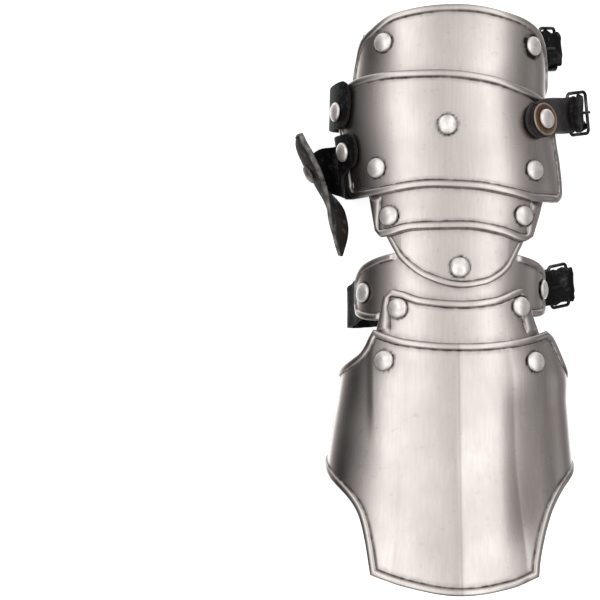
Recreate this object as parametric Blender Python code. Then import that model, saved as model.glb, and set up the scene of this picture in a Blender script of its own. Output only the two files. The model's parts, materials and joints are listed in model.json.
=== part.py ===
"""Right-hand half gauntlet of sheet steel, lying on its straps with the back of the hand up.

Frame: +Y towards the fingers, +X towards the little finger, +Z up, the floor at Z = 0.
Lengths below are in millimetres and angles in degrees; the meshes are built in metres.
All plates are patches of one arched form.  A place on it is (angle, y): the angle runs
round the arch from 0 at the crown, positive towards the little finger.
"""
import math

import bmesh
import bpy
from mathutils import Matrix, Vector

# ---- driving dimensions -------------------------------------------------------------
MM = 0.001
ORIGIN_SHIFT = (3.5, -3.5)       # moves the model so that its box is centred on the origin
SHEET = 1.2                      # steel plate
PITCH = 2.2                      # step from one layer of plates to the next
BEAD_WIDTH = 4.0                 # raised border
BEAD_HEIGHT = 1.0
BEAD_PROFILE = ((0.0, 0.15), (0.28, 0.9), (0.72, 0.9), (1.0, 0.0))   # depth, lift
EDGE_STEP = 0.012                # of s, to find which way an edge runs
ROUNDNESS = 2.25                 # exponent of the arch's superellipse
WING_ANGLE = 121.0               # where the cuff's wings end, on the floor
WING_LAYERS = 2.85               # room under the form there for the layers of plate
RIDGE_ANGLE = 26.0               # half width of the keel on the cuff
GAP = 0.3
HEAD_GAP = 0.5                   # under a rivet's flat head, on a curved plate

RIVET_RADIUS = 5.6
RIVET_HEIGHT = 2.8
RIVET_SIDES = 12
SHANK_RADIUS = 1.7
CLENCH_RADIUS = 3.2
CLENCH_THICK = 0.6
CLENCH_GAP = 0.9                 # under the curved plate or leather that it holds
FIXED_HOLE = 2.3
LOOSE_HOLE = 2.9

LEATHER = 2.2
STRAP_WIDTH = 20.0
STRAP_SAMPLES = 48               # cross-sections along a strap
BUCKLE_SAMPLES = 16              # of them, round the far bar of a buckle
WIRE_RADIUS = 1.0
PRONG_RADIUS = 0.9
BUCKLE_LENGTH = 16.0             # pivot bar to far bar
BUCKLE_HALF_WIDTH = 12.2

# The arch, from the fingers to the elbow.
FORM_COLUMNS = ("y", "half_width", "crown", "spring", "shift", "ridge")
FORM = (
    (172.0, 49.5, 43.0, 18.0, 1.0, 0.0),
    (140.0, 51.5, 48.5, 18.0, 0.5, 0.0),
    (112.0, 53.5, 51.5, 18.0, -1.2, 0.0),
    (60.0, 56.5, 55.5, 20.0, 2.0, 0.0),
    (30.0, 54.8, 59.5, 24.0, 0.0, 0.0),
    (0.0, 54.8, 62.5, 27.0, -1.2, 0.0),
    (-20.0, 57.0, 64.0, 30.0, -0.4, 0.6),
    (-45.0, 61.5, 66.5, 33.0, 0.4, 1.8),
    (-95.0, 67.5, 73.0, 38.0, -0.8, 3.0),
    (-130.0, 73.0, 78.5, 40.0, 0.0, 3.4),
    (-168.0, 79.0, 84.5, 42.0, 0.0, 3.6),
)

# Edge tables: a row is (s, angle, y, corner); s runs from -1 at the thumb side to 1.
EDGES = {
    "knuckle_plate": {
        "head": ((-1, -84, 136, 0), (-.92, -79, 148, 0), (-.70, -60, 156.3, 0),
                 (-.45, -38, 164.2, 0), (0, 0, 168.3, 0), (.45, 36, 163.5, 0),
                 (.70, 57, 158.5, 0), (.92, 77, 148.5, 0), (1, 84, 136, 0)),
        "foot": ((-1, -82, 112, 0), (-.72, -60, 108, 0), (-.35, -30, 95, 0), (0, 0, 92, 0),
                 (.35, 30, 96, 0), (.68, 56, 110.5, 0), (.85, 70, 108, 0), (1, 82, 101.5, 0)),
    },
    "hand_plate": {
        "head": ((-1, -82, 120.5, 0), (-.70, -57.5, 127, 0), (-.40, -33, 129.4, 0),
                 (-.10, -8, 129.8, 0), (.20, 17, 127, 0), (.45, 37, 122.4, 0),
                 (.72, 58, 116.5, 0), (1, 79, 109, 0)),
        "foot": ((-1, -77, 62, 0), (-.90, -69, 57.8, 0), (-.60, -47, 59.2, 0),
                 (-.15, -12, 63, 0), (.07, 5, 62, 0), (.35, 26, 58.5, 0),
                 (.62, 46, 55.4, 0), (.88, 66, 55.6, 0), (1, 76, 59, 0)),
    },
    "wrist_lame": {
        "head": ((-1, -60, 74, 0), (-.75, -46, 80, 0), (0, 0, 79, 0),
                 (.75, 44, 78, 0), (1, 57, 72, 0)),
        "foot": ((-1, -49.5, 38.5, 0), (-.90, -44.5, 35.2, 0), (-.45, -22, 39, 0),
                 (.04, 2, 39.6, 0), (.50, 23, 36.5, 0), (.85, 39.4, 32.8, 0),
                 (1, 47, 35.5, 0)),
    },
    "wrist_tongue": {
        "head": ((-1, -45.5, 49.5, 0), (-.80, -40, 52, 0), (0, 0, 51.5, 0),
                 (.80, 38, 52.4, 0), (1, 44.5, 50, 0)),
        "foot": ((-1, -43.4, 41, 0), (-.87, -41, 33.5, 0), (-.66, -34.4, 25.5, 0),
                 (-.45, -26.5, 19, 0), (-.22, -15, 12.2, 0), (.07, 3.2, 6.8, 0),
                 (.30, 16, 8.8, 0), (.50, 27, 14, 0), (.70, 36, 23.4, 0),
                 (.87, 42, 33.3, 0), (1, 44.6, 41, 0)),
    },
    "wrist_plate": {
        "head": ((-1, -84, 13.5, 0), (-.80, -70, 19.5, 0), (-.40, -33, 27, 0),
                 (0, 0, 29, 0), (.40, 36, 26, 0), (.85, 72, 19, 0), (1, 82, 15.5, 0)),
        "foot": ((-1, -84, -5, 0), (-.90, -78, -9, 0), (-.60, -52, -11.6, 0),
                 (-.45, -38, -9.8, 0), (0, 0, -9, 0), (.45, 40, -9, 0), (.65, 57, -9.5, 0),
                 (.90, 75, -8, 0), (1, 82, -4, 0)),
    },
    "cuff_lame": {
        "head": ((-1, -42.5, 2.5, 0), (-.84, -35, 5.9, 0), (-.40, -16, 1.3, 0),
                 (.06, 3, -.5, 0), (.45, 20, 1.2, 0), (.86, 40, 6.4, 0), (1, 45, 4.5, 0)),
        "foot": ((-1, -52, -36, 0), (-.80, -44, -40, 0), (0, 0, -40, 0),
                 (.80, 49, -41, 0), (1, 60, -37, 0)),
    },
    "cuff": {
        "head": ((-1, -WING_ANGLE, -52, 0), (-.88, -108, -43, 0), (-.72, -90, -40.5, 0),
                 (-.50, -60.3, -31.5, 0), (-.41, -48, -17.2, 1), (-.20, -24, -22.5, 0),
                 (.015, 1.8, -24.8, 0), (.25, 30, -22.8, 0), (.49, 59, -18.4, 1),
                 (.55, 66, -22, 0), (.68, 79, -37, 0), (.76, 90, -42, 0),
                 (.88, 108, -44, 0), (1, WING_ANGLE, -52, 0)),
        "foot": ((-1, -WING_ANGLE, -84, 0), (-.88, -108, -92, 0), (-.74, -91, -96, 0),
                 (-.62, -74.5, -101.7, 0), (-.50, -56.5, -110, 0), (-.43, -47, -119, 0),
                 (-.37, -41, -133.4, 0), (-.30, -36, -152.8, 1), (-.15, -18, -158.8, 0),
                 (0, 0, -162.5, 0), (.14, 17, -159.4, 0), (.27, 31.6, -153.6, 1),
                 (.30, 33.7, -143.4, 0), (.35, 39.8, -128, 0), (.43, 49.7, -114, 0),
                 (.52, 62, -105, 0), (.66, 80, -98.5, 0), (.75, 91, -95.5, 0),
                 (.88, 108, -92, 0), (1, WING_ANGLE, -84, 0)),
    },
}

# Plates: layer in steps of PITCH, thumb-side flare, columns and rows between the borders.
# Their borders are raised on the edges named here, from the least angle off the crown on
# and between the two places along the arm; what lies under another plate stays plain.
ALL = (0, -200, 200)
PLATES = {
    "knuckle_plate": {"layer": 1.8, "flare": 0.0, "columns": 18, "rows": 3,
                      "raised": {"head": ALL, "side": (0, 124, 200)}},
    "hand_plate": {"layer": 3.0, "flare": 4.5, "columns": 18, "rows": 6,
                   "raised": {"head": ALL, "foot": ALL, "side": ALL}},
    "wrist_lame": {"layer": 2.0, "flare": 0.0, "columns": 10, "rows": 2,
                   "raised": {"foot": ALL}},
    "wrist_tongue": {"layer": 1.0, "flare": 0.0, "columns": 12, "rows": 2,
                     "raised": {"foot": (0, -200, 31)}},
    "wrist_plate": {"layer": 0.0, "flare": 0.0, "columns": 16, "rows": 2,
                    "raised": {"head": (52, -200, 200), "foot": (56, -200, 200)}},
    "cuff_lame": {"layer": 1.0, "flare": 0.0, "columns": 10, "rows": 2,
                  "raised": {"head": ALL}},
    "cuff": {"layer": 2.0, "flare": 0.0, "columns": 30, "rows": 5,
             "raised": {"head": ALL, "foot": ALL, "side": ALL}},
}

# Rivets through plates only: outer plate, inner plate, angle, y.
PLATE_RIVETS = {
    "rivet_hand_centre": ("hand_plate", "knuckle_plate", -3.0, 98.5),
    "rivet_hand_thumb": ("hand_plate", "wrist_lame", -45.9, 75.0),
    "rivet_hand_little": ("hand_plate", "wrist_lame", 43.6, 73.0),
    "rivet_lame_thumb": ("wrist_lame", "wrist_tongue", -38.8, 47.0),
    "rivet_lame_little": ("wrist_lame", "wrist_tongue", 36.9, 47.4),
    "rivet_tongue": ("wrist_tongue", "wrist_plate", 1.7, 18.2),
    "rivet_cuff_lame_thumb": ("cuff_lame", "wrist_plate", -31.5, -4.8),
    "rivet_cuff_lame_little": ("cuff_lame", "wrist_plate", 39.8, -4.0),
    "rivet_cuff_thumb": ("cuff", "cuff_lame", -38.4, -34.6),
    "rivet_cuff_little": ("cuff", "cuff_lame", 42.6, -35.6),
}

STEEL = ((0.66, 0.63, 0.60), 1.0, 0.32)
BLACK_LEATHER = ((0.02, 0.02, 0.021), 0.0, 0.55)
BLACK_WIRE = ((0.015, 0.015, 0.016), 0.6, 0.4)
COPPER = ((0.42, 0.25, 0.16), 1.0, 0.4)


# ---- the arched form ----------------------------------------------------------------
def smooth_value(xs, ys, x, corners=None):
    """Cubic through the points (xs rising), with no overshoot and a break at corners."""
    i = max(0, min(len(xs) - 2, sum(1 for v in xs[1:-1] if v <= x)))
    chord = [(ys[k + 1] - ys[k]) / (xs[k + 1] - xs[k]) for k in range(len(xs) - 1)]

    def slope(k, side):
        if k == 0 or k == len(xs) - 1 or (corners and corners[k]):
            return chord[max(0, min(len(chord) - 1, k + side))]
        before, after = chord[k - 1], chord[k]
        if before * after <= 0:
            return 0.0
        return 2.0 * before * after / (before + after)

    h = xs[i + 1] - xs[i]
    t = (x - xs[i]) / h
    m0, m1 = slope(i, 0), slope(i + 1, -1)
    return (ys[i] * (2 * t ** 3 - 3 * t ** 2 + 1) + m0 * h * (t ** 3 - 2 * t ** 2 + t)
            + ys[i + 1] * (-2 * t ** 3 + 3 * t ** 2) + m1 * h * (t ** 3 - t ** 2))


FORM_RISING = tuple(reversed(FORM))
FORM_Y = [row[0] for row in FORM_RISING]


def station(y):
    """The arch's sizes at one place along the arm."""
    return {name: smooth_value(FORM_Y, [row[i] for row in FORM_RISING], y)
            for i, name in enumerate(FORM_COLUMNS) if i}


def power(value, exponent):
    return math.copysign(abs(value) ** exponent, value)


def form_point(angle, y, sizes=None):
    """A point of the innermost layer's outer face."""
    size = sizes or station(y)
    a = math.radians(angle)
    e = 2.0 / ROUNDNESS
    drop = (size["spring"] - WING_LAYERS) / abs(math.cos(math.radians(WING_ANGLE))) ** e
    rise = size["crown"] - size["spring"]
    x = size["shift"] + size["half_width"] * power(math.sin(a), e)
    z = size["spring"] + (rise if math.cos(a) >= 0 else drop) * power(math.cos(a), e)
    z += size["ridge"] * max(0.0, 1.0 - abs(angle) / RIDGE_ANGLE)
    return Vector((x, y, z))


def form_frame(angle, y):
    """Point, outward normal and the length of one degree round the arch."""
    da, dy = 1.0, 0.5
    here = station(y)
    round_arch = form_point(angle + da, y, here) - form_point(angle - da, y, here)
    along = form_point(angle, y + dy) - form_point(angle, y - dy)
    normal = round_arch.cross(along).normalized()
    return form_point(angle, y, here), normal, round_arch.length / (2 * da)


def shell_point(angle, y, offset, flare=0.0):
    """A point at a height above the form; flare swings the thumb-side wall outwards."""
    point, normal, _ = form_frame(angle, y)
    wall = max(0.0, -math.sin(math.radians(angle))) ** 3
    reach = max(0.0, min(1.0, (y - 58.0) / 54.0))
    reach = reach * reach * (3 - 2 * reach)
    return point + normal * offset + Vector((-flare * wall * reach, 0, 0))


# ---- plates -------------------------------------------------------------------------
def edge_place(rows, s):
    """(angle, y) on an edge table at s."""
    xs = [row[0] for row in rows]
    corners = [row[3] for row in rows]
    return tuple(smooth_value(xs, [row[k] for row in rows], s, corners) for k in (1, 2))


def inset_edge(rows, s, depth, inward, other, side_zone):
    """The edge at s, moved into the plate by depth millimetres.

    Near the plate's sides the move turns from the edge's normal to the way towards the
    opposite edge, so that the border stays inside the plate.
    """
    angle, y = edge_place(rows, s)
    if depth == 0:
        return angle, y
    degree = form_frame(angle, y)[2]
    column = Vector(((other[0] - angle) * degree, other[1] - y)).normalized()
    normal = Vector((0, 0))
    for low, high in ((s - EDGE_STEP, s), (s, s + EDGE_STEP)):
        if low >= -1 and high <= 1:
            p, q = edge_place(rows, low), edge_place(rows, high)
            run = Vector(((q[0] - p[0]) * degree, q[1] - p[1])).normalized()
            normal += Vector((-run.y, run.x)) * inward
    if normal.length == 0:
        return angle + column.x * depth / degree, y + column.y * depth
    mitre = min(1.5, 2.0 / normal.length) if normal.length > 1.2 else 1.0
    normal.normalize()
    away = min(1.0, (1 - abs(s)) / side_zone)
    away = away * away * (3 - 2 * away)
    move = (column * min(1.5, 1 / max(0.3, column.dot(normal)))).lerp(normal * mitre, away)
    return angle + move.x * depth / degree, y + move.y * depth


def raised_lift(name, edge, lift, angle, y):
    """The border's lift on one edge of a plate, or none where it stays plain."""
    if edge not in PLATES[name]["raised"]:
        return 0.0
    least_angle, low_y, high_y = PLATES[name]["raised"][edge]
    return lift * BEAD_HEIGHT if abs(angle) >= least_angle and low_y <= y <= high_y else 0.0


def border_steps(name, edge):
    """(depth, lift) rows of one edge's border."""
    return BEAD_PROFILE if edge in PLATES[name]["raised"] else ((0.0, 0.0),)


def plate_columns(name, bead_share):
    """(s, lift) from side to side, with a column exactly at each corner of the edges."""
    side = [(d * bead_share, lift) for d, lift in border_steps(name, "side")]
    reach, count = 1 - side[-1][0], PLATES[name]["columns"]
    inner = [(-reach * (1 - 2 * i / count), 0.0) for i in range(1, count)]
    columns = [(-1 + s, lift) for s, lift in side] + inner \
        + [(1 - s, lift) for s, lift in reversed(side)]
    for row in EDGES[name]["head"] + EDGES[name]["foot"]:
        if row[3]:
            nearest = min(range(len(columns)), key=lambda i: abs(columns[i][0] - row[0]))
            columns[nearest] = (row[0], columns[nearest][1])
    return columns


def plate_grid(name):
    """Rows of (angle, y, lift) from the foot edge to the head edge."""
    head, foot = EDGES[name]["head"], EDGES[name]["foot"]
    middle = [lerp_pair(edge_place(foot, s), edge_place(head, s), 0.5) for s in (-1, 0, 1)]
    width = abs(middle[2][0] - middle[0][0]) * form_frame(*middle[1])[2]
    bead_share = BEAD_WIDTH * 2 / width
    depths = {edge: border_steps(name, edge)[-1][0] * BEAD_WIDTH for edge in ("foot", "head")}
    rows = PLATES[name]["rows"]
    steps = [("foot", d, lift) for d, lift in border_steps(name, "foot")]
    steps += [("between", i / rows, 0.0) for i in range(1, rows)]
    steps += [("head", d, lift) for d, lift in reversed(border_steps(name, "head"))]
    grid = []
    for kind, value, lift in steps:
        row = []
        for s, side_lift in plate_columns(name, bead_share):
            low, high = edge_place(foot, s), edge_place(head, s)
            low_depth = value * BEAD_WIDTH if kind == "foot" else depths["foot"]
            high_depth = value * BEAD_WIDTH if kind == "head" else depths["head"]
            low_in = inset_edge(foot, s, low_depth, 1, high, 3 * bead_share)
            high_in = inset_edge(head, s, high_depth, -1, low, 3 * bead_share)
            place = {"foot": low_in, "head": high_in,
                     "between": lerp_pair(low_in, high_in, value)}[kind]
            row.append((*place, max(raised_lift(name, kind, lift, *place),
                                    raised_lift(name, "side", side_lift, *place))))
        grid.append(row)
    return grid


def lerp_pair(a, b, t):
    return tuple(p + (q - p) * t for p, q in zip(a, b))


def plate_mesh(name):
    """One closed shell: a grid of outer points, the same grid inside, and the rim."""
    spec = PLATES[name]
    outside = spec["layer"] * PITCH
    grid = plate_grid(name)
    bm = bmesh.new()
    top, under = [], []
    for row in grid:
        top.append([bm.verts.new(shell_point(a, y, outside + lift, spec["flare"]) * MM)
                    for a, y, lift in row])
        under.append([bm.verts.new(shell_point(a, y, outside - SHEET, spec["flare"]) * MM)
                      for a, y, _ in row])
    rows, columns = len(grid), len(grid[0])
    for j in range(rows - 1):
        for i in range(columns - 1):
            bm.faces.new((top[j][i], top[j][i + 1], top[j + 1][i + 1], top[j + 1][i]))
            bm.faces.new((under[j][i], under[j + 1][i], under[j + 1][i + 1], under[j][i + 1]))
    rim_top = top[0] + [r[-1] for r in top[1:]] + top[-1][-2::-1] + [r[0] for r in top[-2:0:-1]]
    rim_under = under[0] + [r[-1] for r in under[1:]] + under[-1][-2::-1] \
        + [r[0] for r in under[-2:0:-1]]
    for i in range(len(rim_top)):
        k = (i + 1) % len(rim_top)
        bm.faces.new((rim_top[i], rim_under[i], rim_under[k], rim_top[k]))
    return bm


# ---- helpers that make objects ------------------------------------------------------
def material(name, look):
    colour, metallic, roughness = look
    mat = bpy.data.materials.new(name)
    mat.use_nodes = True
    shader = mat.node_tree.nodes["Principled BSDF"]
    shader.inputs["Base Color"].default_value = (*colour, 1.0)
    shader.inputs["Metallic"].default_value = metallic
    shader.inputs["Roughness"].default_value = roughness
    mat.diffuse_color = (*colour, 1.0)
    return mat


def add_object(name, bm, look, sharp=40.0):
    """Make the object; faces are oriented outwards and the mesh is moved to the origin."""
    bmesh.ops.recalc_face_normals(bm, faces=bm.faces)
    bmesh.ops.translate(bm, verts=bm.verts,
                        vec=(ORIGIN_SHIFT[0] * MM, ORIGIN_SHIFT[1] * MM, 0))
    mesh = bpy.data.meshes.new(name)
    bm.to_mesh(mesh)
    bm.free()
    mesh.shade_smooth()
    mesh.set_sharp_from_angle(angle=math.radians(sharp))
    obj = bpy.data.objects.new(name, mesh)
    bpy.context.scene.collection.objects.link(obj)
    mesh.materials.append(material(name + "_material", look))
    return obj


def cut(obj, name, bm):
    """Take a shape away from an object with a Boolean modifier, before its earlier cuts."""
    cutter = add_object(name, bm, STEEL)
    cutter.hide_render = True
    cutter.display_type = 'WIRE'
    modifier = obj.modifiers.new(name, 'BOOLEAN')
    modifier.operation = 'DIFFERENCE'
    modifier.solver = 'EXACT'
    modifier.object = cutter
    obj.modifiers.move(len(obj.modifiers) - 1, 0)


def axes_matrix(origin, x_axis, y_axis, z_axis):
    m = Matrix((x_axis, y_axis, z_axis)).transposed().to_4x4()
    m.translation = origin
    return m


def normal_matrix(angle, y, height, flare=0.0):
    """A frame on the form: its Z is the outward normal, its origin at the given height."""
    round_arch = shell_point(angle + 1, y, 0.0, flare) - shell_point(angle - 1, y, 0.0, flare)
    along = shell_point(angle, y + 1, 0.0, flare) - shell_point(angle, y - 1, 0.0, flare)
    normal = round_arch.cross(along).normalized()
    origin = shell_point(angle, y, 0.0, flare) + normal * height
    side = Vector((0, 1, 0)).cross(normal).normalized()
    return axes_matrix(origin, side, normal.cross(side), normal)


def turned(profile, segments, matrix):
    """A solid turned round Z from (radius, height) rows; first and last lie on the axis."""
    bm = bmesh.new()
    rings = []
    for radius, height in profile:
        if radius == 0:
            rings.append([bm.verts.new(matrix @ Vector((0, 0, height)) * MM)])
            continue
        rings.append([bm.verts.new(matrix @ Vector((radius * math.cos(2 * math.pi * i / segments),
                                                    radius * math.sin(2 * math.pi * i / segments),
                                                    height)) * MM) for i in range(segments)])
    for low, high in zip(rings, rings[1:]):
        for i in range(segments):
            k = (i + 1) % segments
            corners = [low[i % len(low)], low[k % len(low)], high[k % len(high)], high[i % len(high)]]
            face = [v for n, v in enumerate(corners) if v not in corners[:n]]
            bm.faces.new(face)
    return bm


def rivet_profile(depth):
    """A domed head with its flat at height 0, and a shank that ends in a clench below."""
    dome = [(RIVET_RADIUS * math.sin(a), RIVET_HEIGHT * math.cos(a) ** 0.9)
            for a in (math.radians(d) for d in (35, 68))]
    return ([(0, RIVET_HEIGHT)] + dome
            + [(RIVET_RADIUS, 0.0), (SHANK_RADIUS, 0.0), (SHANK_RADIUS, -depth),
               (CLENCH_RADIUS, -depth), (CLENCH_RADIUS - 0.8, -depth - CLENCH_THICK),
               (0, -depth - CLENCH_THICK)])


def make_rivet(name, matrix, depth):
    return add_object(name, turned(rivet_profile(depth), RIVET_SIDES, matrix), STEEL, 50.0)


def hole(obj, name, matrix, radius, depth):
    profile = [(0, 3.0), (radius, 3.0), (radius, -depth), (0, -depth)]
    cut(obj, name, turned(profile, 12, matrix))


def strip(path, acrosses, half_widths, thickness):
    """A flat band along a path: one cross-section of four corners at each point."""
    bm = bmesh.new()
    rings = []
    count = len(path)
    for i, point in enumerate(path):
        ahead, behind = path[min(i + 1, count - 1)], path[max(i - 1, 0)]
        tangent = (ahead - behind).normalized()
        across = (acrosses[i] - tangent * acrosses[i].dot(tangent)).normalized()
        up = tangent.cross(across).normalized() * thickness[i] / 2
        side = across * half_widths[i]
        rings.append([bm.verts.new(corner * MM) for corner in
                      (point - side - up, point + side - up, point + side + up,
                       point - side + up)])
    for a, b in zip(rings, rings[1:]):
        for i in range(4):
            k = (i + 1) % 4
            bm.faces.new((a[i], a[k], b[k], b[i]))
    bm.faces.new(rings[0])
    bm.faces.new(rings[-1])
    return bm


def smooth_path(rows, samples):
    """Samples of a smooth path through rows of x, y, z and any further columns."""
    where = [0.0]
    for a, b in zip(rows, rows[1:]):
        where.append(where[-1] + math.dist(a[:3], b[:3]))
    return [[smooth_value(where, [row[k] for row in rows], where[-1] * i / (samples - 1))
             for k in range(len(rows[0]))] for i in range(samples)]


def tube(path, radius, sides, closed, plane_normal):
    """A round wire along a path that lies in a plane."""
    bm = bmesh.new()
    rings = []
    count = len(path)
    for i, point in enumerate(path):
        ahead = path[(i + 1) % count] if closed else path[min(i + 1, count - 1)]
        behind = path[i - 1] if closed else path[max(i - 1, 0)]
        side = (ahead - behind).cross(plane_normal).normalized() * radius
        up = plane_normal * radius
        rings.append([bm.verts.new((point + side * math.cos(2 * math.pi * k / sides)
                                    + up * math.sin(2 * math.pi * k / sides)) * MM)
                      for k in range(sides)])
    for a, b in list(zip(rings, rings[1:])) + ([(rings[-1], rings[0])] if closed else []):
        for k in range(sides):
            n = (k + 1) % sides
            bm.faces.new((a[k], a[n], b[n], b[k]))
    if not closed:
        bm.faces.new(rings[0])
        bm.faces.new(rings[-1])
    return bm


# ---- straps and buckles -------------------------------------------------------------
# A buckle hangs below an edge: its pivot bar's place, the fall of its frame below level,
# its turn about the frame's normal, the strap's free end past the bar, and its body.
BUCKLES = {
    "knuckle": {"pivot": (53.2, 147.2, 19.0), "fall": 50.0, "turn": 6.0, "tail": 1.5,
                "plate": "knuckle_plate", "rivet": (55.0, 145.5), "outside": False,
                "end_angle": 46.0, "plate_points": 4, "drift": 0.0, "rise": 0.0,
                "over": True},
    "palm": {"pivot": (68.9, 108.2, 24.5), "fall": 40.0, "turn": 8.0, "tail": 5.0,
             "plate": "hand_plate", "rivet": (51.6, 101.2), "outside": True,
             "end_angle": 40.6, "plate_points": 4, "drift": 2.4, "rise": 0.8,
             "over": False},
    "wrist": {"pivot": (58.4, 7.2, 21.0), "fall": 42.0, "turn": 8.0, "tail": 1.5,
              "plate": "wrist_plate", "rivet": (74.0, 6.0), "outside": False,
              "end_angle": 64.0, "plate_points": 4, "drift": 0.0, "rise": 0.0,
                "over": True},
}
BUCKLE_CORNER = 2.4
TAB_THICK = 4.0
TAB_HALF_WIDTH = 10.0
EYE_HOLE = WIRE_RADIUS + 0.35
EYE_RADIUS = EYE_HOLE + 1.9
SLOT_HALF = PRONG_RADIUS + 0.45
OUTSIDE_GAP = 1.6                # leather that lies on a plate's raised border
INSIDE_GAP = 0.7                 # leather under a plate
WASHER_RADIUS = 9.4
WASHER_THICK = 1.0
WASHER_GAP = 1.1                 # between the flat washer and the curved leather

# Thumb side of each strap: angles followed on the plate, then world points to the floor.
STRAPS = {
    "knuckle_strap": {
        "plate": "knuckle_plate", "outside": False, "y": 145.0, "half_width": 9.0,
        "angles": (-40, -50, -60, -70, -79), "rivet": (-47.0, 147.0),
        "down": ((-49.6, 144, 16), (-47.6, 143.5, 7), (-42, 143, 2), (-33, 143, LEATHER / 2)),
        "across": ((-12, 144, LEATHER / 2), (12, 146, LEATHER / 2), (36, 147, LEATHER / 2)),
        "up": ((50, 146.5, LEATHER / 2), (57.5, 146.5, 1.9)),
        "buckle": "knuckle",
    },
    "palm_strap": {
        "plate": "hand_plate", "outside": True, "y": 111.8, "half_width": 14.4,
        "angles": (-62, -68, -74, -80), "rivet": (-75.5, 108.5),
        "down": ((-69.5, 111.5, 17), (-66, 111, 8), (-58, 110, 2.6), (-48, 109, LEATHER / 2)),
        "across": ((-20, 107, LEATHER / 2), (10, 107, LEATHER / 2),
                   (40, 108, LEATHER / 2)),
        "up": ((62, 109, LEATHER / 2), (72.6, 109.2, 3.6), (76.5, 109.4, 9.5)),
        "buckle": "palm",
    },
    "wrist_strap": {
        "plate": "wrist_plate", "outside": False, "y": 1.6, "half_width": 12.9,
        "angles": (-57, -66, -75, -82), "rivet": (-65.0, 4.2),
        "down": ((-55.8, -1.8, 23), (-59.0, -4.6, 14), (-55, -5.4, 5), (-44, -5, LEATHER / 2)),
        "across": ((-20, -2, LEATHER / 2), (10, 3, LEATHER / 2), (35, 7, LEATHER / 2)),
        "up": ((52, 7.5, LEATHER / 2), (61.3, 7.5, 3.4)),
        "buckle": "wrist",
    },
}

# The leaf over the thumb, from top to tip: place of its middle line, half width, and the
# degrees by which its upper rim leans away from the hand.
LEAF_COLUMNS = ("t", "x", "y", "half_width", "lean")
LEAF = (
    (0.0, -88.0, 97.0, 4.5, -10.0),
    (0.07, -87.4, 92.0, 12.0, -10.0),
    (0.20, -83.2, 83.0, 17.0, -9.0),
    (0.40, -75.0, 68.5, 18.5, -2.0),
    (0.65, -66.5, 50.5, 15.5, 18.0),
    (0.85, -64.3, 36.0, 9.0, 24.0),
    (1.0, -64.3, 25.5, 1.5, 24.0),
)
LEAF_HEIGHT = 25.0               # height of its middle line
LEAF_DEPTH = 4.8                 # how far it bulges outwards
LEAF_RIVET = 0.31
LEAF_RIVET_ACROSS = -0.2
LEAF_GAP = 1.6                   # between the leaf and the leather behind its rivet
# The flap's middle line: (angle, half width) on the plate, where its finger side runs
# straight, (x, y, z, half width) in the air and (place across, half width) behind the leaf.
FLAP_TOP = 95.6
FLAP_ON_PLATE = ((-58, 9.8), (-65, 10.0), (-72, 11.0), (-79, 13.0))
FLAP_FREE = ((-65.2, 78, 23, 18), (-66.8, 77, 17, 18.5), (-70, 77, 14, 13),
             (-74.8, 77.5, 14, 9))
FLAP_ON_LEAF = ((0.45, 8.5), (0.2, 9.5), (-0.05, 9.5), (-0.3, 9.5), (-0.5, 8))
FLAP_RIVET = (-70.0, 86.0)
FLAP_SAMPLES = 22


def outer_face(plate):
    return PLATES[plate]["layer"] * PITCH


def flare_of(plate):
    return PLATES[plate]["flare"]


def leather_centre(plate, outside, thickness):
    """Height above the form of leather that lies on a plate's outer or inner face."""
    if outside:
        return outer_face(plate) + OUTSIDE_GAP + thickness / 2
    return outer_face(plate) - SHEET - INSIDE_GAP - thickness / 2


def along_arm(angle, y, flare=0.0):
    """The way towards the fingers along the form."""
    step = shell_point(angle, y + 1, 0.0, flare) - shell_point(angle, y - 1, 0.0, flare)
    return step.normalized()


def buckle_frame(name):
    """Axes of a buckle: X towards the far bar, Y along the bars, Z outwards."""
    spec = BUCKLES[name]
    fall = math.radians(spec["fall"])
    away = Vector((math.cos(fall), 0, -math.sin(fall)))
    outward = Vector((math.sin(fall), 0, math.cos(fall)))
    turn = Matrix.Rotation(math.radians(spec["turn"]), 3, outward)
    return axes_matrix(Vector(spec["pivot"]), turn @ away, turn @ Vector((0, 1, 0)), outward)


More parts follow.
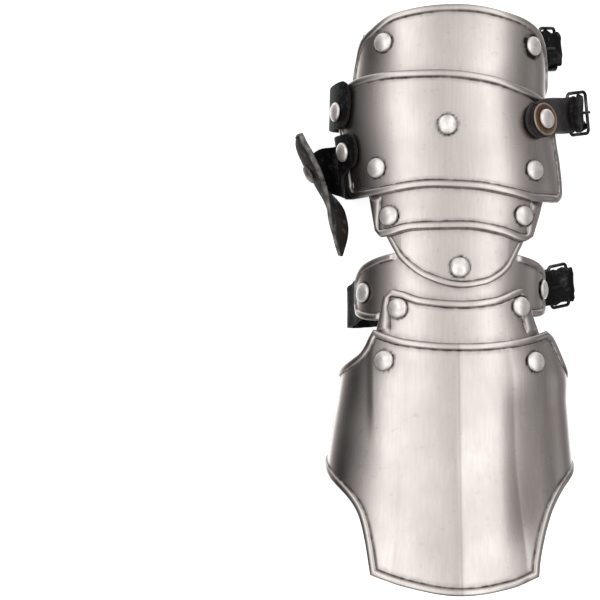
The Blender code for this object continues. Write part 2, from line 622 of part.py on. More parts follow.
def make_buckle(name):
    """The wire frame, its prong and the leather tab that holds its pivot bar."""
    spec, frame = BUCKLES[name], buckle_frame(name)
    corners = [(BUCKLE_LENGTH - BUCKLE_CORNER, 1, 90), (BUCKLE_CORNER, 1, 180),
               (BUCKLE_CORNER, -1, 270), (BUCKLE_LENGTH - BUCKLE_CORNER, -1, 360)]
    path = []
    for u, sign, end in corners:
        for step in range(4):
            a = math.radians(end - 90 + step * 30)
            path.append(frame @ Vector((u + BUCKLE_CORNER * math.cos(a),
                                        sign * (BUCKLE_HALF_WIDTH - BUCKLE_CORNER)
                                        + BUCKLE_CORNER * math.sin(a), 0)))
    bars, outward = frame.col[1].xyz, frame.col[2].xyz
    add_object(name + "_buckle_frame", tube(path, WIRE_RADIUS, 8, True, outward), BLACK_WIRE,
               60.0)

    ring = EYE_HOLE + PRONG_RADIUS
    route = [(ring * math.cos(math.radians(a)), ring * math.sin(math.radians(a)))
             for a in range(-70, -271, -25)]
    route += [(4.0, ring), (9.0, ring), (BUCKLE_LENGTH + 0.6, ring)]
    prong = [frame @ Vector((u, 0, n)) for u, n in route]
    add_object(name + "_buckle_prong", tube(prong, PRONG_RADIUS, 6, False, bars), BLACK_WIRE,
               60.0)

    plate, angle, y = spec["plate"], *spec["rivet"]
    height = leather_centre(plate, spec["outside"], TAB_THICK)
    angles = [spec["end_angle"] + (angle - spec["end_angle"]) * k / 2
              for k in range(spec["plate_points"])]
    past = [max(0, k - 2) for k in range(spec["plate_points"])]
    start = [shell_point(a, y + spec["drift"] * k, height + spec["rise"] * k, flare_of(plate))
             for a, k in zip(angles, past)]
    points = start + [frame @ Vector((-EYE_RADIUS - 1.5, 0, 0))]
    path = [Vector(row) for row in smooth_path(points, 9)]
    first = along_arm(angles[0], y, flare_of(plate))
    acrosses = [first.lerp(bars, k / 8) for k in range(9)]
    halves = [0.5 * TAB_HALF_WIDTH, 0.86 * TAB_HALF_WIDTH] + [TAB_HALF_WIDTH] * 7
    thick = [TAB_THICK] * 9
    for a in (142, 118, 93, 67, 42):
        path.append(frame @ Vector((EYE_RADIUS * math.cos(math.radians(a)), 0, 0)))
        thick.append(2 * EYE_RADIUS * math.sin(math.radians(a)))
        acrosses.append(bars)
        halves.append(TAB_HALF_WIDTH)
    tab = add_object(name + "_tab", strip(path, acrosses, halves, thick), BLACK_LEATHER)
    bar = frame @ Matrix.Rotation(math.radians(90), 4, 'X') @ Matrix.Rotation(0.2, 4, 'Z')
    cut(tab, name + "_bar_hole", turned([(0, 14), (EYE_HOLE, 14), (EYE_HOLE, -14), (0, -14)],
                                        12, bar))
    cut(tab, name + "_prong_slot", box(frame, (-3.85, 5.0), SLOT_HALF, (-5.0, 5.0)))
    return tab


def box(frame, u_range, half, n_range):
    bm = bmesh.new()
    corners = [bm.verts.new(frame @ Vector((u, w, n)) * MM)
               for n in n_range for w in (-half, half) for u in u_range]
    for a, b, c, d in ((0, 1, 3, 2), (4, 5, 7, 6), (0, 1, 5, 4), (2, 3, 7, 6), (0, 2, 6, 4),
                       (1, 3, 7, 5)):
        bm.faces.new((corners[a], corners[b], corners[c], corners[d]))
    return bm


def make_strap(name):
    """One whole strap: off the plate, under the palm and up through its buckle."""
    spec = STRAPS[name]
    plate, y = spec["plate"], spec["y"]
    height = leather_centre(plate, spec["outside"], LEATHER)
    start = [shell_point(a, y, height, flare_of(plate)) for a in spec["angles"]]
    frame = buckle_frame(spec["buckle"])
    tail = BUCKLES[spec["buckle"]]["tail"]
    points = start + [Vector(p) for k in ("down", "across", "up") for p in spec[k]]
    clear = EYE_RADIUS + 0.4 + LEATHER / 2
    if BUCKLES[spec["buckle"]]["over"]:
        points.append(frame @ Vector((BUCKLE_LENGTH + 2.1, 0, -1.8)))
        bend = [(BUCKLE_LENGTH + 2.75, 0.0), (BUCKLE_LENGTH + 1.95, 1.95), (BUCKLE_LENGTH, 2.75),
                (13.0, 2.2), (9.5, 0.2), (6.0, -2.4), (3.0, -4.4), (0.0, -clear - 0.2),
                (-tail, -clear - 0.2)]
        slot, last = (8.2, BUCKLE_LENGTH + 1.0), BUCKLE_SAMPLES
        turning, turned_by = 0.6, 1 - (last - 0.5) / STRAP_SAMPLES
        path = [Vector(row) for row in smooth_path(points, STRAP_SAMPLES - last)]
        path += [Vector(row) for row in
                 smooth_path([points[-1]] + [frame @ Vector((u, 0, n)) for u, n in bend],
                             last + 1)][1:]
    else:
        through = [(11.8, -1.9), (7.0, 1.9), (3.0, clear - 0.7), (0.0, clear),
                   (-tail, clear - 0.2)]
        points += [frame @ Vector((u, 0, n)) for u, n in through]
        slot, turning, turned_by = (-0.8, 10.4), 0.8, 1.0
        path = [Vector(row) for row in smooth_path(points, STRAP_SAMPLES)]
    samples = STRAP_SAMPLES
    for point in path:                      # the stretch on the floor is exactly flat
        if point.z < LEATHER / 2 + 0.02:
            point.z = LEATHER / 2
    first = along_arm(spec["angles"][0], y, flare_of(plate))
    bars = frame.to_3x3() @ Vector((0, 1, 0))
    acrosses, halves = [], []
    for i in range(samples):
        part = i / (samples - 1)
        blend = Vector((0, 1, 0))
        if part < 0.2:
            blend = first.lerp(blend, part / 0.2)
        elif part > turning:
            blend = blend.lerp(bars, min(1.0, (part - turning) / (turned_by - turning)))
        acrosses.append(blend)
        wide = spec["half_width"] + (STRAP_WIDTH / 2 - spec["half_width"]) * min(1.0, part / 0.3)
        halves.append(wide)
    halves[0], halves[1] = halves[0] * 0.55, halves[1] * 0.9
    halves[-1], halves[-2] = halves[-1] * 0.6, halves[-2] * 0.92
    strap = add_object(name, strip(path, acrosses, halves, [LEATHER] * samples), BLACK_LEATHER)
    cut(strap, name + "_prong_slot", box(frame, slot, SLOT_HALF, (-0.8, 7.5)))
    return strap


def leaf_frame(t):
    """Middle point, direction to the tip, across (downwards) and outwards on the leaf."""
    ts = [row[0] for row in LEAF]
    at = [smooth_value(ts, [row[k] for row in LEAF], t) for k in (1, 2, 3, 4)]
    step = 0.02
    a, b = max(0.0, t - step), min(1.0, t + step)
    run = Vector([smooth_value(ts, [row[k] for row in LEAF], b)
                  - smooth_value(ts, [row[k] for row in LEAF], a) for k in (1, 2)] + [0.0])
    run.normalize()
    lean = math.radians(at[3])
    down = Vector((math.sin(lean), 0, -math.cos(lean)))
    down = (down - run * down.dot(run)).normalized()
    outward = run.cross(down).normalized()
    if outward.x > 0:
        outward.negate()
    return Vector((at[0], at[1], LEAF_HEIGHT)), run, down, outward, at[2]


def leaf_point(t, v, lift):
    middle, _, down, outward, half = leaf_frame(t)
    bulge = LEAF_DEPTH * (half / 19.5) * (1 - v * v)
    slope = -2 * LEAF_DEPTH * (half / 19.5) * v / half
    normal = (outward - down * slope).normalized()
    return middle + down * (half * v) + outward * bulge + normal * lift


def make_leaf():
    bm = bmesh.new()
    ts = [0, .015, .04, .07, .12, .2, .3, .4, .5, .6, .7, .8, .88, .94, .975, 1]
    vs = [-1, -.93, -.82, -.74, -.45, -.15, .15, .45, .74, .82, .93, 1]
    top, under = [], []
    for t in ts:
        rim_t = 1.0 if t in (0, 1) else (.9 if t in (.015, .04, .975) else 0)
        lifts = [max(rim_t, 0.8 if abs(v) > .8 else 0) * 0.9 for v in vs]
        top.append([bm.verts.new(leaf_point(t, v, k) * MM) for v, k in zip(vs, lifts)])
        under.append([bm.verts.new(leaf_point(t, v, -SHEET) * MM) for v in vs])
    for j in range(len(ts) - 1):
        for i in range(len(vs) - 1):
            bm.faces.new((top[j][i], top[j][i + 1], top[j + 1][i + 1], top[j + 1][i]))
            bm.faces.new((under[j][i], under[j + 1][i], under[j + 1][i + 1], under[j][i + 1]))
    rim_top = top[0] + [r[-1] for r in top[1:]] + top[-1][-2::-1] + [r[0] for r in top[-2:0:-1]]
    rim_low = under[0] + [r[-1] for r in under[1:]] + under[-1][-2::-1] \
        + [r[0] for r in under[-2:0:-1]]
    for i in range(len(rim_top)):
        k = (i + 1) % len(rim_top)
        bm.faces.new((rim_top[i], rim_low[i], rim_low[k], rim_top[k]))
    leaf = add_object("thumb_plate", bm, STEEL)
    centre = leaf_point(LEAF_RIVET, LEAF_RIVET_ACROSS, 0)
    normal = (leaf_point(LEAF_RIVET, LEAF_RIVET_ACROSS, 1) - centre).normalized()
    run = leaf_frame(LEAF_RIVET)[1]
    run = (run - normal * run.dot(normal)).normalized()
    matrix = axes_matrix(centre + normal * GAP, run, normal.cross(run), normal)
    hole(leaf, "thumb_plate_hole", matrix, FIXED_HOLE, 4.0)
    return leaf, matrix


def make_flap():
    """The leather from the hand plate, round under its side edge, to behind the leaf."""
    height = leather_centre("hand_plate", True, LEATHER)
    behind = -SHEET - LEAF_GAP - LEATHER / 2
    rows = [(*shell_point(angle, FLAP_TOP - half, height, flare_of("hand_plate")), half)
            for angle, half in FLAP_ON_PLATE]
    rows += FLAP_FREE
    rows += [(*leaf_point(LEAF_RIVET, v, behind), half) for v, half in FLAP_ON_LEAF]
    samples = smooth_path(rows, FLAP_SAMPLES)
    _, run, _, _, _ = leaf_frame(LEAF_RIVET)
    first = along_arm(FLAP_ON_PLATE[1][0], FLAP_RIVET[1], flare_of("hand_plate"))
    acrosses = [first.lerp(-run, max(0.0, (i / (FLAP_SAMPLES - 1) - 0.4) / 0.6))
                for i in range(FLAP_SAMPLES)]
    halves = [row[3] for row in samples]
    halves[0] *= 0.7
    return add_object("thumb_flap", strip([Vector(row[:3]) for row in samples], acrosses,
                                          halves, [LEATHER] * FLAP_SAMPLES), BLACK_LEATHER)


# ---- assembly -----------------------------------------------------------------------
def main():
    for old in list(bpy.data.objects):
        bpy.data.objects.remove(old)
    plates = {name: add_object(name, plate_mesh(name), STEEL) for name in PLATES}

    for name, (outer, inner, angle, y) in PLATE_RIVETS.items():
        flare = flare_of(outer)
        matrix = normal_matrix(angle, y, outer_face(outer) + HEAD_GAP, flare)
        through = outer_face(outer) - outer_face(inner) + SHEET + HEAD_GAP + CLENCH_GAP
        make_rivet(name, matrix, through)
        hole(plates[outer], name + "_outer_hole", matrix, FIXED_HOLE, 2.0)
        hole(plates[inner], name + "_inner_hole", matrix, LOOSE_HOLE, through + 1.0)

    leather = {}
    for name in BUCKLES:
        leather[name + "_tab"] = make_buckle(name)
    for name in STRAPS:
        leather[name] = make_strap(name)
    leaf, leaf_matrix = make_leaf()
    leather["thumb_flap"] = make_flap()

    def fasten(name, plate, spot, leather_name, thickness, outside, washer=0.0):
        """A rivet through a plate and the leather on its outer or inner face."""
        under_head = outer_face(plate) + HEAD_GAP
        if outside:
            under_head += OUTSIDE_GAP + thickness + washer
        gap = OUTSIDE_GAP if outside else INSIDE_GAP
        depth = HEAD_GAP + gap + thickness + washer + SHEET + CLENCH_GAP
        matrix = normal_matrix(*spot, under_head, flare_of(plate))
        make_rivet(name, matrix, depth)
        hole(plates[plate], name + "_plate_hole", matrix, FIXED_HOLE, depth + 1.0)
        hole(leather[leather_name], name + "_leather_hole", matrix, FIXED_HOLE, depth + 1.0)
        return matrix

    for name, spec in BUCKLES.items():
        washer = WASHER_THICK + WASHER_GAP if name == "palm" else 0.0
        matrix = fasten("rivet_" + name + "_little", spec["plate"], spec["rivet"],
                        name + "_tab", TAB_THICK, spec["outside"], washer)
        if washer:
            low = -GAP - WASHER_THICK
            ring = turned([(0, -GAP), (WASHER_RADIUS - 0.4, -GAP), (WASHER_RADIUS, low + 0.3),
                           (WASHER_RADIUS - 0.3, low), (0, low)], 28, matrix)
            disc = add_object("palm_washer", ring, COPPER)
            hole(disc, "palm_washer_hole", matrix, FIXED_HOLE, 3.0)
    for name, spec in STRAPS.items():
        fasten("rivet_" + name.replace("strap", "thumb"), spec["plate"], spec["rivet"],
               name, LEATHER, spec["outside"])
    fasten("rivet_flap", "hand_plate", FLAP_RIVET, "thumb_flap", LEATHER, True)

    depth = SHEET + LEATHER + LEAF_GAP + GAP + CLENCH_GAP
    make_rivet("rivet_leaf", leaf_matrix, depth)
    hole(leather["thumb_flap"], "rivet_leaf_flap_hole", leaf_matrix, FIXED_HOLE, depth + 1.5)


main()
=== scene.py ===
"""Looks of the right-hand half gauntlet: rolled plate borders, domed rivets, leather and wire.

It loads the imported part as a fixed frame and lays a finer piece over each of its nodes.  The
tables of sizes repeat the part's own, in millimetres and degrees; +Y runs to the fingers.
A place on the arched form is (angle, y), and the angle is 0 at the crown.
"""

import json
import math
from collections import namedtuple

import bpy
import numpy as np
from mathutils import Matrix, Vector


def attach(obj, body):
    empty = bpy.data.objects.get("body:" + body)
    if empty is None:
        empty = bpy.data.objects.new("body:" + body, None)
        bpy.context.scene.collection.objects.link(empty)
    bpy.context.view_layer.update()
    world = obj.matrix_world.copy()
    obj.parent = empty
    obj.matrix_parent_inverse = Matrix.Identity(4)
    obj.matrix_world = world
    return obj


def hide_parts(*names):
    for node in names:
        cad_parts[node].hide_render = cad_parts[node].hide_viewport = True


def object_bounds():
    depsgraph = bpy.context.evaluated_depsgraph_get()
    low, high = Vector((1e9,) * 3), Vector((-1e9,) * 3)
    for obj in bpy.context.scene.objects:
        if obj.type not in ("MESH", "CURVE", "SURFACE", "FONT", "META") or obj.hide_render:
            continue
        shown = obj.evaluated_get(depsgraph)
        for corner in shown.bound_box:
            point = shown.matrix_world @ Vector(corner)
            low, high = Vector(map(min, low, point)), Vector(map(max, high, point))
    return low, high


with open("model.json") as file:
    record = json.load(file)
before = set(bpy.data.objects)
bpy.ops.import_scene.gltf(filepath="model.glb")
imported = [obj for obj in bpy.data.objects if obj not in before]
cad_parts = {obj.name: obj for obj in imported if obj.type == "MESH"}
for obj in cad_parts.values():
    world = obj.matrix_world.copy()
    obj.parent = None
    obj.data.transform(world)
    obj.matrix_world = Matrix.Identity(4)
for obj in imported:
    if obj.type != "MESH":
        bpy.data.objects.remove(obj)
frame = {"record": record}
CAD_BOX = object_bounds()
BODY_OF = {node: body for body, nodes in frame["record"]["behaviour"]["bodies"].items()
           for node in nodes}

# ---- sizes shared with the part -----------------------------------------------------
MM = 0.001
ORIGIN_SHIFT = (3.5, -3.5, 0.0)
SHEET = 1.2
PITCH = 2.2                      # from one layer of plates to the next
ROUNDNESS = 2.25
WING_ANGLE = 121.0
WING_LAYERS = 2.85
RIDGE_ANGLE = 26.0
HEAD_GAP = 0.5

RIVET_RADIUS = 5.6
SHANK_RADIUS = 1.7
CLENCH_RADIUS = 3.2
CLENCH_THICK = 0.6
CLENCH_GAP = 0.9

LEATHER = 2.2
LYING = LEATHER / 2              # height of the middle of a strap that lies on the floor
STRAP_WIDTH = 20.0
WIRE_RADIUS = 1.0
PRONG_RADIUS = 0.9
BUCKLE_LENGTH = 16.0
BUCKLE_HALF_WIDTH = 12.2
BUCKLE_CORNER = 2.4
TAB_THICK = 4.0
TAB_HALF_WIDTH = 10.0
EYE_HOLE = WIRE_RADIUS + 0.35
EYE_RADIUS = EYE_HOLE + 1.9
OUTSIDE_GAP = 1.6
INSIDE_GAP = 0.7
WASHER_RADIUS = 9.4
WASHER_THICK = 1.0
WASHER_GAP = 1.1

FORM = np.array((
    # y, half width, crown, spring, shift, ridge
    (-168, 79, 84.5, 42, 0, 3.6),
    (-130, 73, 78.5, 40, 0, 3.4),
    (-95, 67.5, 73, 38, -0.8, 3),
    (-45, 61.5, 66.5, 33, 0.4, 1.8),
    (-20, 57, 64, 30, -0.4, 0.6),
    (0, 54.8, 62.5, 27, -1.2, 0),
    (30, 54.8, 59.5, 24, 0, 0),
    (60, 56.5, 55.5, 20, 2, 0),
    (112, 53.5, 51.5, 18, -1.2, 0),
    (140, 51.5, 48.5, 18, 0.5, 0),
    (172, 49.5, 43, 18, 1, 0),
))

# Edges of the plates: (s, angle, y) and a 1 at a corner; s runs from -1 at the thumb side to 1.
EDGES = {
    "knuckle_plate": {
        "head": ((-1, -84, 136), (-.92, -79, 148), (-.7, -60, 156.3), (-.45, -38, 164.2),
            (0, 0, 168.3), (.45, 36, 163.5), (.7, 57, 158.5), (.92, 77, 148.5), (1, 84, 136)),
        "foot": ((-1, -82, 112), (-.72, -60, 108), (-.35, -30, 95), (0, 0, 92), (.35, 30, 96),
            (.68, 56, 110.5), (.85, 70, 108), (1, 82, 101.5)),
    },
    "hand_plate": {
        "head": ((-1, -82, 120.5), (-.7, -57.5, 127), (-.4, -33, 129.4), (-.1, -8, 129.8),
            (.2, 17, 127), (.45, 37, 122.4), (.72, 58, 116.5), (1, 79, 109)),
        "foot": ((-1, -77, 62), (-.9, -69, 57.8), (-.6, -47, 59.2), (-.15, -12, 63), (.07, 5, 62),
            (.35, 26, 58.5), (.62, 46, 55.4), (.88, 66, 55.6), (1, 76, 59)),
    },
    "wrist_lame": {
        "head": ((-1, -60, 74), (-.75, -46, 80), (0, 0, 79), (.75, 44, 78), (1, 57, 72)),
        "foot": ((-1, -49.5, 38.5), (-.9, -44.5, 35.2), (-.45, -22, 39), (.04, 2, 39.6),
            (.5, 23, 36.5), (.85, 39.4, 32.8), (1, 47, 35.5)),
    },
    "wrist_tongue": {
        "head": ((-1, -45.5, 49.5), (-.8, -40, 52), (0, 0, 51.5), (.8, 38, 52.4), (1, 44.5, 50)),
        "foot": ((-1, -43.4, 41), (-.87, -41, 33.5), (-.66, -34.4, 25.5), (-.45, -26.5, 19),
            (-.22, -15, 12.2), (.07, 3.2, 6.8), (.3, 16, 8.8), (.5, 27, 14), (.7, 36, 23.4),
            (.87, 42, 33.3), (1, 44.6, 41)),
    },
    "wrist_plate": {
        "head": ((-1, -84, 13.5), (-.8, -70, 19.5), (-.4, -33, 27), (0, 0, 29), (.4, 36, 26),
            (.85, 72, 19), (1, 82, 15.5)),
        "foot": ((-1, -84, -5), (-.9, -78, -9), (-.6, -52, -11.6), (-.45, -38, -9.8), (0, 0, -9),
            (.45, 40, -9), (.65, 57, -9.5), (.9, 75, -8), (1, 82, -4)),
    },
    "cuff_lame": {
        "head": ((-1, -42.5, 2.5), (-.84, -35, 5.9), (-.4, -16, 1.3), (.06, 3, -.5),
            (.45, 20, 1.2), (.86, 40, 6.4), (1, 45, 4.5)),
        "foot": ((-1, -52, -36), (-.8, -44, -40), (0, 0, -40), (.8, 49, -41), (1, 60, -37)),
    },
    "cuff": {
        "head": ((-1, -WING_ANGLE, -52), (-.88, -108, -43), (-.72, -90, -40.5),
            (-.5, -60.3, -31.5), (-.41, -48, -17.2, 1), (-.2, -24, -22.5), (.015, 1.8, -24.8),
            (.25, 30, -22.8), (.49, 59, -18.4, 1), (.55, 66, -22), (.68, 79, -37), (.76, 90, -42),
            (.88, 108, -44), (1, WING_ANGLE, -52)),
        "foot": ((-1, -WING_ANGLE, -84), (-.88, -108, -92), (-.74, -91, -96),
            (-.62, -74.5, -101.7), (-.5, -56.5, -110), (-.43, -47, -119), (-.37, -41, -133.4),
            (-.3, -36, -152.8, 1), (-.15, -18, -158.8), (0, 0, -162.5), (.14, 17, -159.4),
            (.27, 31.6, -153.6, 1), (.3, 33.7, -143.4), (.35, 39.8, -128), (.43, 49.7, -114),
            (.52, 62, -105), (.66, 80, -98.5), (.75, 91, -95.5), (.88, 108, -92),
            (1, WING_ANGLE, -84)),
    },
}

# The width and height of the rolled border are "hem".  "bare" says where an edge has none,
# under another plate: None, or the angle or y at which it starts to fade, where it is gone,
# and the crown's angle or how far that line slants by the angle.
Plate = namedtuple("Plate", "layer flare columns rows hem bare")
PLATES = {
    "knuckle_plate": Plate(1.8, 0, 120, 46, (4.4, 1.0),
                           {"foot": None, "side": ("y", 124, 118, 0)}),
    "hand_plate": Plate(3.0, 4.5, 130, 44, (4.6, 1.1), {}),
    "wrist_lame": Plate(2.0, 0, 90, 30, (4.6, 1.05),
                        {"head": None, "side": ("y", 54, 56.8, .034)}),
    "wrist_tongue": Plate(1.0, 0, 90, 30, (3.7, 0.7),
                          {"head": None, "side": None, "foot": ("y", 30.5, 33.8, .03)}),
    "wrist_plate": Plate(0.0, 0, 120, 26, (4.2, 0.85),
                         {"head": ("angle", 40, 36, 1.5), "foot": ("angle", 52, 48, 2.5)}),
    "cuff_lame": Plate(1.0, 0, 90, 30, (4.6, 1.05),
                       {"foot": None, "side": ("y", -16.6, -18.5, .015)}),
    "cuff": Plate(2.0, 0, 200, 70, (4.4, 1.0), {}),
}

# The rolled border across its width: (share of the width, lift as a share of the height).
HEM = np.array((
    (0.0, -0.45), (0.02, 0.0), (0.045, 0.3), (0.09, 0.58), (0.16, 0.8), (0.25, 0.95),
    (0.36, 1.04), (0.5, 1.08), (0.62, 1.02), (0.74, 0.84), (0.84, 0.55), (0.905, 0.22),
    (0.94, -0.05), (0.965, -0.16), (0.99, -0.12), (1.03, -0.03), (1.1, 0.0), (1.25, 0.0),
))
SEAM_PLACE = 0.965               # the fine line along the inner side of the border
RIM_DEPTH = 0.85                 # how far below a sheet's outer face its rim stands out most
KEEL_PLACE = 0.6                 # where the cuff's keel runs, across the arm
OFF_KEEL = 99.0                  # the distance to a keel that a piece without one is given
CORNER_REACH = 9.0               # how far from a corner the border's rows fan out to its mitre
FAR = 1e3                        # beyond every border

# Outer plate, the plate under it, angle and y.
PLATE_RIVETS = {
    "rivet_hand_centre": ("hand_plate", "knuckle_plate", -3.0, 98.5),
    "rivet_hand_thumb": ("hand_plate", "wrist_lame", -45.9, 75.0),
    "rivet_hand_little": ("hand_plate", "wrist_lame", 43.6, 73.0),
    "rivet_lame_thumb": ("wrist_lame", "wrist_tongue", -38.8, 47.0),
    "rivet_lame_little": ("wrist_lame", "wrist_tongue", 36.9, 47.4),
    "rivet_tongue": ("wrist_tongue", "wrist_plate", 1.7, 18.2),
    "rivet_cuff_lame_thumb": ("cuff_lame", "wrist_plate", -31.5, -4.8),
    "rivet_cuff_lame_little": ("cuff_lame", "wrist_plate", 39.8, -4.0),
    "rivet_cuff_thumb": ("cuff", "cuff_lame", -38.4, -34.6),
    "rivet_cuff_little": ("cuff", "cuff_lame", 42.6, -35.6),
}

# One buckle, on its tab at the little-finger side of a plate, for each strap.
Buckle = namedtuple("Buckle", "plate outside rivet pivot fall turn tail end_angle drift rise")
BUCKLES = {
    "knuckle": Buckle("knuckle_plate", False, (55.0, 145.5), (53.2, 147.2, 19.0), 50, 6, 1.5,
                      46.0, 0, 0),
    "palm": Buckle("hand_plate", True, (51.6, 101.2), (68.9, 108.2, 24.5), 40, 8, 5.0,
                   40.6, 2.4, 0.8),
    "wrist": Buckle("wrist_plate", False, (74.0, 6.0), (58.4, 7.2, 21.0), 42, 8, 1.5,
                    64.0, 0, 0),
}
# A strap leaves its plate along the angles, at y, and follows the route to the buckle.
Strap = namedtuple("Strap", "y half_width angles rivet route")
STRAPS = {
    "knuckle": Strap(145.0, 9.0, (-40, -50, -60, -70, -79), (-47.0, 147.0), (
        (-49.6, 144, 16), (-47.6, 143.5, 7), (-42, 143, 2), (-33, 143, LYING),
        (-12, 144, LYING), (12, 146, LYING), (36, 147, LYING),
        (50, 146.5, LYING), (57.5, 146.5, 1.9))),
    "palm": Strap(111.8, 14.4, (-62, -68, -74, -80), (-75.5, 108.5), (
        (-69.5, 111.5, 17), (-66, 111, 8), (-58, 110, 2.6), (-48, 109, LYING),
        (-20, 107, LYING), (10, 107, LYING), (40, 108, LYING),
        (62, 109, LYING), (72.6, 109.2, 3.6), (76.5, 109.4, 9.5))),
    "wrist": Strap(1.6, 12.9, (-57, -66, -75, -82), (-65.0, 4.2), (
        (-55.8, -1.8, 23), (-59.0, -4.6, 14), (-55, -5.4, 5), (-44, -5, LYING),
        (-20, -2, LYING), (10, 3, LYING), (35, 7, LYING),
        (52, 7.5, LYING), (61.3, 7.5, 3.4))),
}

LEAF = np.array((
    # t, x, y, half width, lean of its upper rim away from the hand
    (0.0, -88.0, 97.0, 4.5, -10.0),
    (0.07, -87.4, 92.0, 12.0, -10.0),
    (0.20, -83.2, 83.0, 17.0, -9.0),
    (0.40, -75.0, 68.5, 18.5, -2.0),
    (0.65, -66.5, 50.5, 15.5, 18.0),
    (0.85, -64.3, 36.0, 9.0, 24.0),
    (1.0, -64.3, 25.5, 1.5, 24.0),
))
LEAF_HEIGHT = 25.0
LEAF_DEPTH = 4.8
LEAF_LENGTH = 75.0
LEAF_RIVET = (0.31, -0.2)        # along and across the leaf
LEAF_GAP = 1.6
LEAF_HEM = (3.2, 0.85)
LEAF_WIDEST = 19.5               # the half width at which the leaf's bulge is LEAF_DEPTH
RIVET_LIFT = 0.3                 # from the leaf's face to its rivet's head

# The flap: its upper edge's y, (angle, half width) on the plate, (x, y, z, half width) between,
# and (place across, half width) on the leaf.
FLAP_TOP = 95.6
FLAP_ON_PLATE = ((-58, 9.8), (-65, 10.0), (-72, 11.0), (-79, 13.0))
FLAP_FREE = ((-64.2, 78, 22, 18.2), (-58.5, 77.6, 15.5, 18.6), (-61.5, 77.6, 10.2, 18.2),
             (-66.2, 77.3, 9.2, 15.6), (-72.4, 78.4, 11.5, 11.6))
FLAP_ON_LEAF = ((0.45, 8.7), (0.2, 9.5), (-0.05, 9.5), (-0.3, 9.5), (-0.5, 8))
FLAP_RIVET = (-70.0, 86.0)


# ---- the arched form ----------------------------------------------------------------
def smooth_values(xs, ys, x, corners=None):
    """Cubic through the points (xs rising), with no overshoot and a break at corners."""
    xs, ys, x = np.asarray(xs, float), np.asarray(ys, float), np.asarray(x, float)
    chord = np.diff(ys) / np.diff(xs)
    product = chord[:-1] * chord[1:]
    inner = np.where(product > 0, 2 * product / np.where(product > 0, chord[:-1] + chord[1:], 1), 0)
    left = np.concatenate(([chord[0]], inner, [chord[-1]]))
    right = left.copy()
    if corners is not None:
        for k in range(1, len(xs) - 1):
            if corners[k]:
                left[k], right[k] = chord[k - 1], chord[k]
    i = np.searchsorted(xs[1:-1], x, side="right")
    h = xs[i + 1] - xs[i]
    t = (x - xs[i]) / h
    return (ys[i] * (2 * t ** 3 - 3 * t ** 2 + 1) + right[i] * h * (t ** 3 - 2 * t ** 2 + t)
            + ys[i + 1] * (-2 * t ** 3 + 3 * t ** 2) + left[i + 1] * h * (t ** 3 - t ** 2))


def smooth_columns(table, columns, x):
    """Smooth values of a table's columns at places along its first column."""
    return [smooth_values(table[:, 0], table[:, k], x) for k in columns]


def smoothstep(low, high, x):
    t = np.clip((np.asarray(x, float) - low) / (high - low), 0, 1)
    return t * t * (3 - 2 * t)


def between(start, full, fading, gone, x):
    """1 from full to fading, and 0 outside start and gone."""
    return smoothstep(start, full, x) * (1 - smoothstep(fading, gone, x))


def unit(vectors):
    return vectors / np.linalg.norm(vectors, axis=-1, keepdims=True)


def signed_power(value, exponent):
    return np.sign(value) * np.abs(value) ** exponent


def form_points(angle, y):
    """Points of the innermost layer's outer face."""
    half_width, crown, spring, shift, ridge = smooth_columns(FORM, range(1, 6), y)
    a = np.radians(angle)
    e = 2.0 / ROUNDNESS
    drop = (spring - WING_LAYERS) / abs(math.cos(math.radians(WING_ANGLE))) ** e
    x = shift + half_width * signed_power(np.sin(a), e)
    z = spring + np.where(np.cos(a) >= 0, crown - spring, drop) * signed_power(np.cos(a), e)
    z = z + ridge * np.maximum(0.0, 1.0 - np.abs(angle) / RIDGE_ANGLE)
    return np.stack(np.broadcast_arrays(x, y, z), -1)


def form_frames(angle, y):
    """Points, outward normals and the length of one degree round the arch."""
    angle, y = np.broadcast_arrays(np.asarray(angle, float), np.asarray(y, float))
    round_arch = form_points(angle + 1, y) - form_points(angle - 1, y)
    along = form_points(angle, y + 0.5) - form_points(angle, y - 0.5)
    normal = unit(np.cross(round_arch, along))
    return form_points(angle, y), normal, np.linalg.norm(round_arch, axis=-1) / 2


def shell_points(plate, angle, y, offset):
    """Points at a height above the form; the hand plate's thumb-side wall flares outwards."""
    point, normal, _ = form_frames(angle, y)
    wall = np.maximum(0.0, -np.sin(np.radians(angle))) ** 3
    point = point + normal * np.asarray(offset)[..., None]
    point[..., 0] -= PLATES[plate].flare * wall * smoothstep(58.0, 112.0, y)
    return point


def shell_point(plate, angle, y, offset):
    return Vector(shell_points(plate, float(angle), float(y), offset))


def axes_matrix(origin, x_axis, y_axis, z_axis):
    m = Matrix((x_axis, y_axis, z_axis)).transposed().to_4x4()
    m.translation = origin
    return m


def normal_matrix(plate, angle, y, height):
    """A frame on the form: its Z is the outward normal, its origin at the given height."""
    round_arch = shell_point(plate, angle + 1, y, 0.0) - shell_point(plate, angle - 1, y, 0.0)
    along = shell_point(plate, angle, y + 1, 0.0) - shell_point(plate, angle, y - 1, 0.0)
    normal = round_arch.cross(along).normalized()
    side = Vector((0, 1, 0)).cross(normal).normalized()
    return axes_matrix(shell_point(plate, angle, y, 0.0) + normal * height, side,
                       normal.cross(side), normal)


def along_arm(plate, angle, y):
    step = shell_point(plate, angle, y + 1, 0.0) - shell_point(plate, angle, y - 1, 0.0)
    return np.array(step.normalized())


def outer_face(plate):
    return PLATES[plate].layer * PITCH


def ripple(points, wavelengths, seed):
    """A smooth irregular field over points, from about -1 to 1."""
    rng = np.random.default_rng(seed)
    total = np.zeros(points.shape[:-1])
    for wavelength in wavelengths:
        direction = unit(rng.normal(size=3)) * 2 * math.pi / wavelength
        total += np.sin(points @ direction + rng.uniform(0, 2 * math.pi))
    return total / math.sqrt(len(wavelengths))


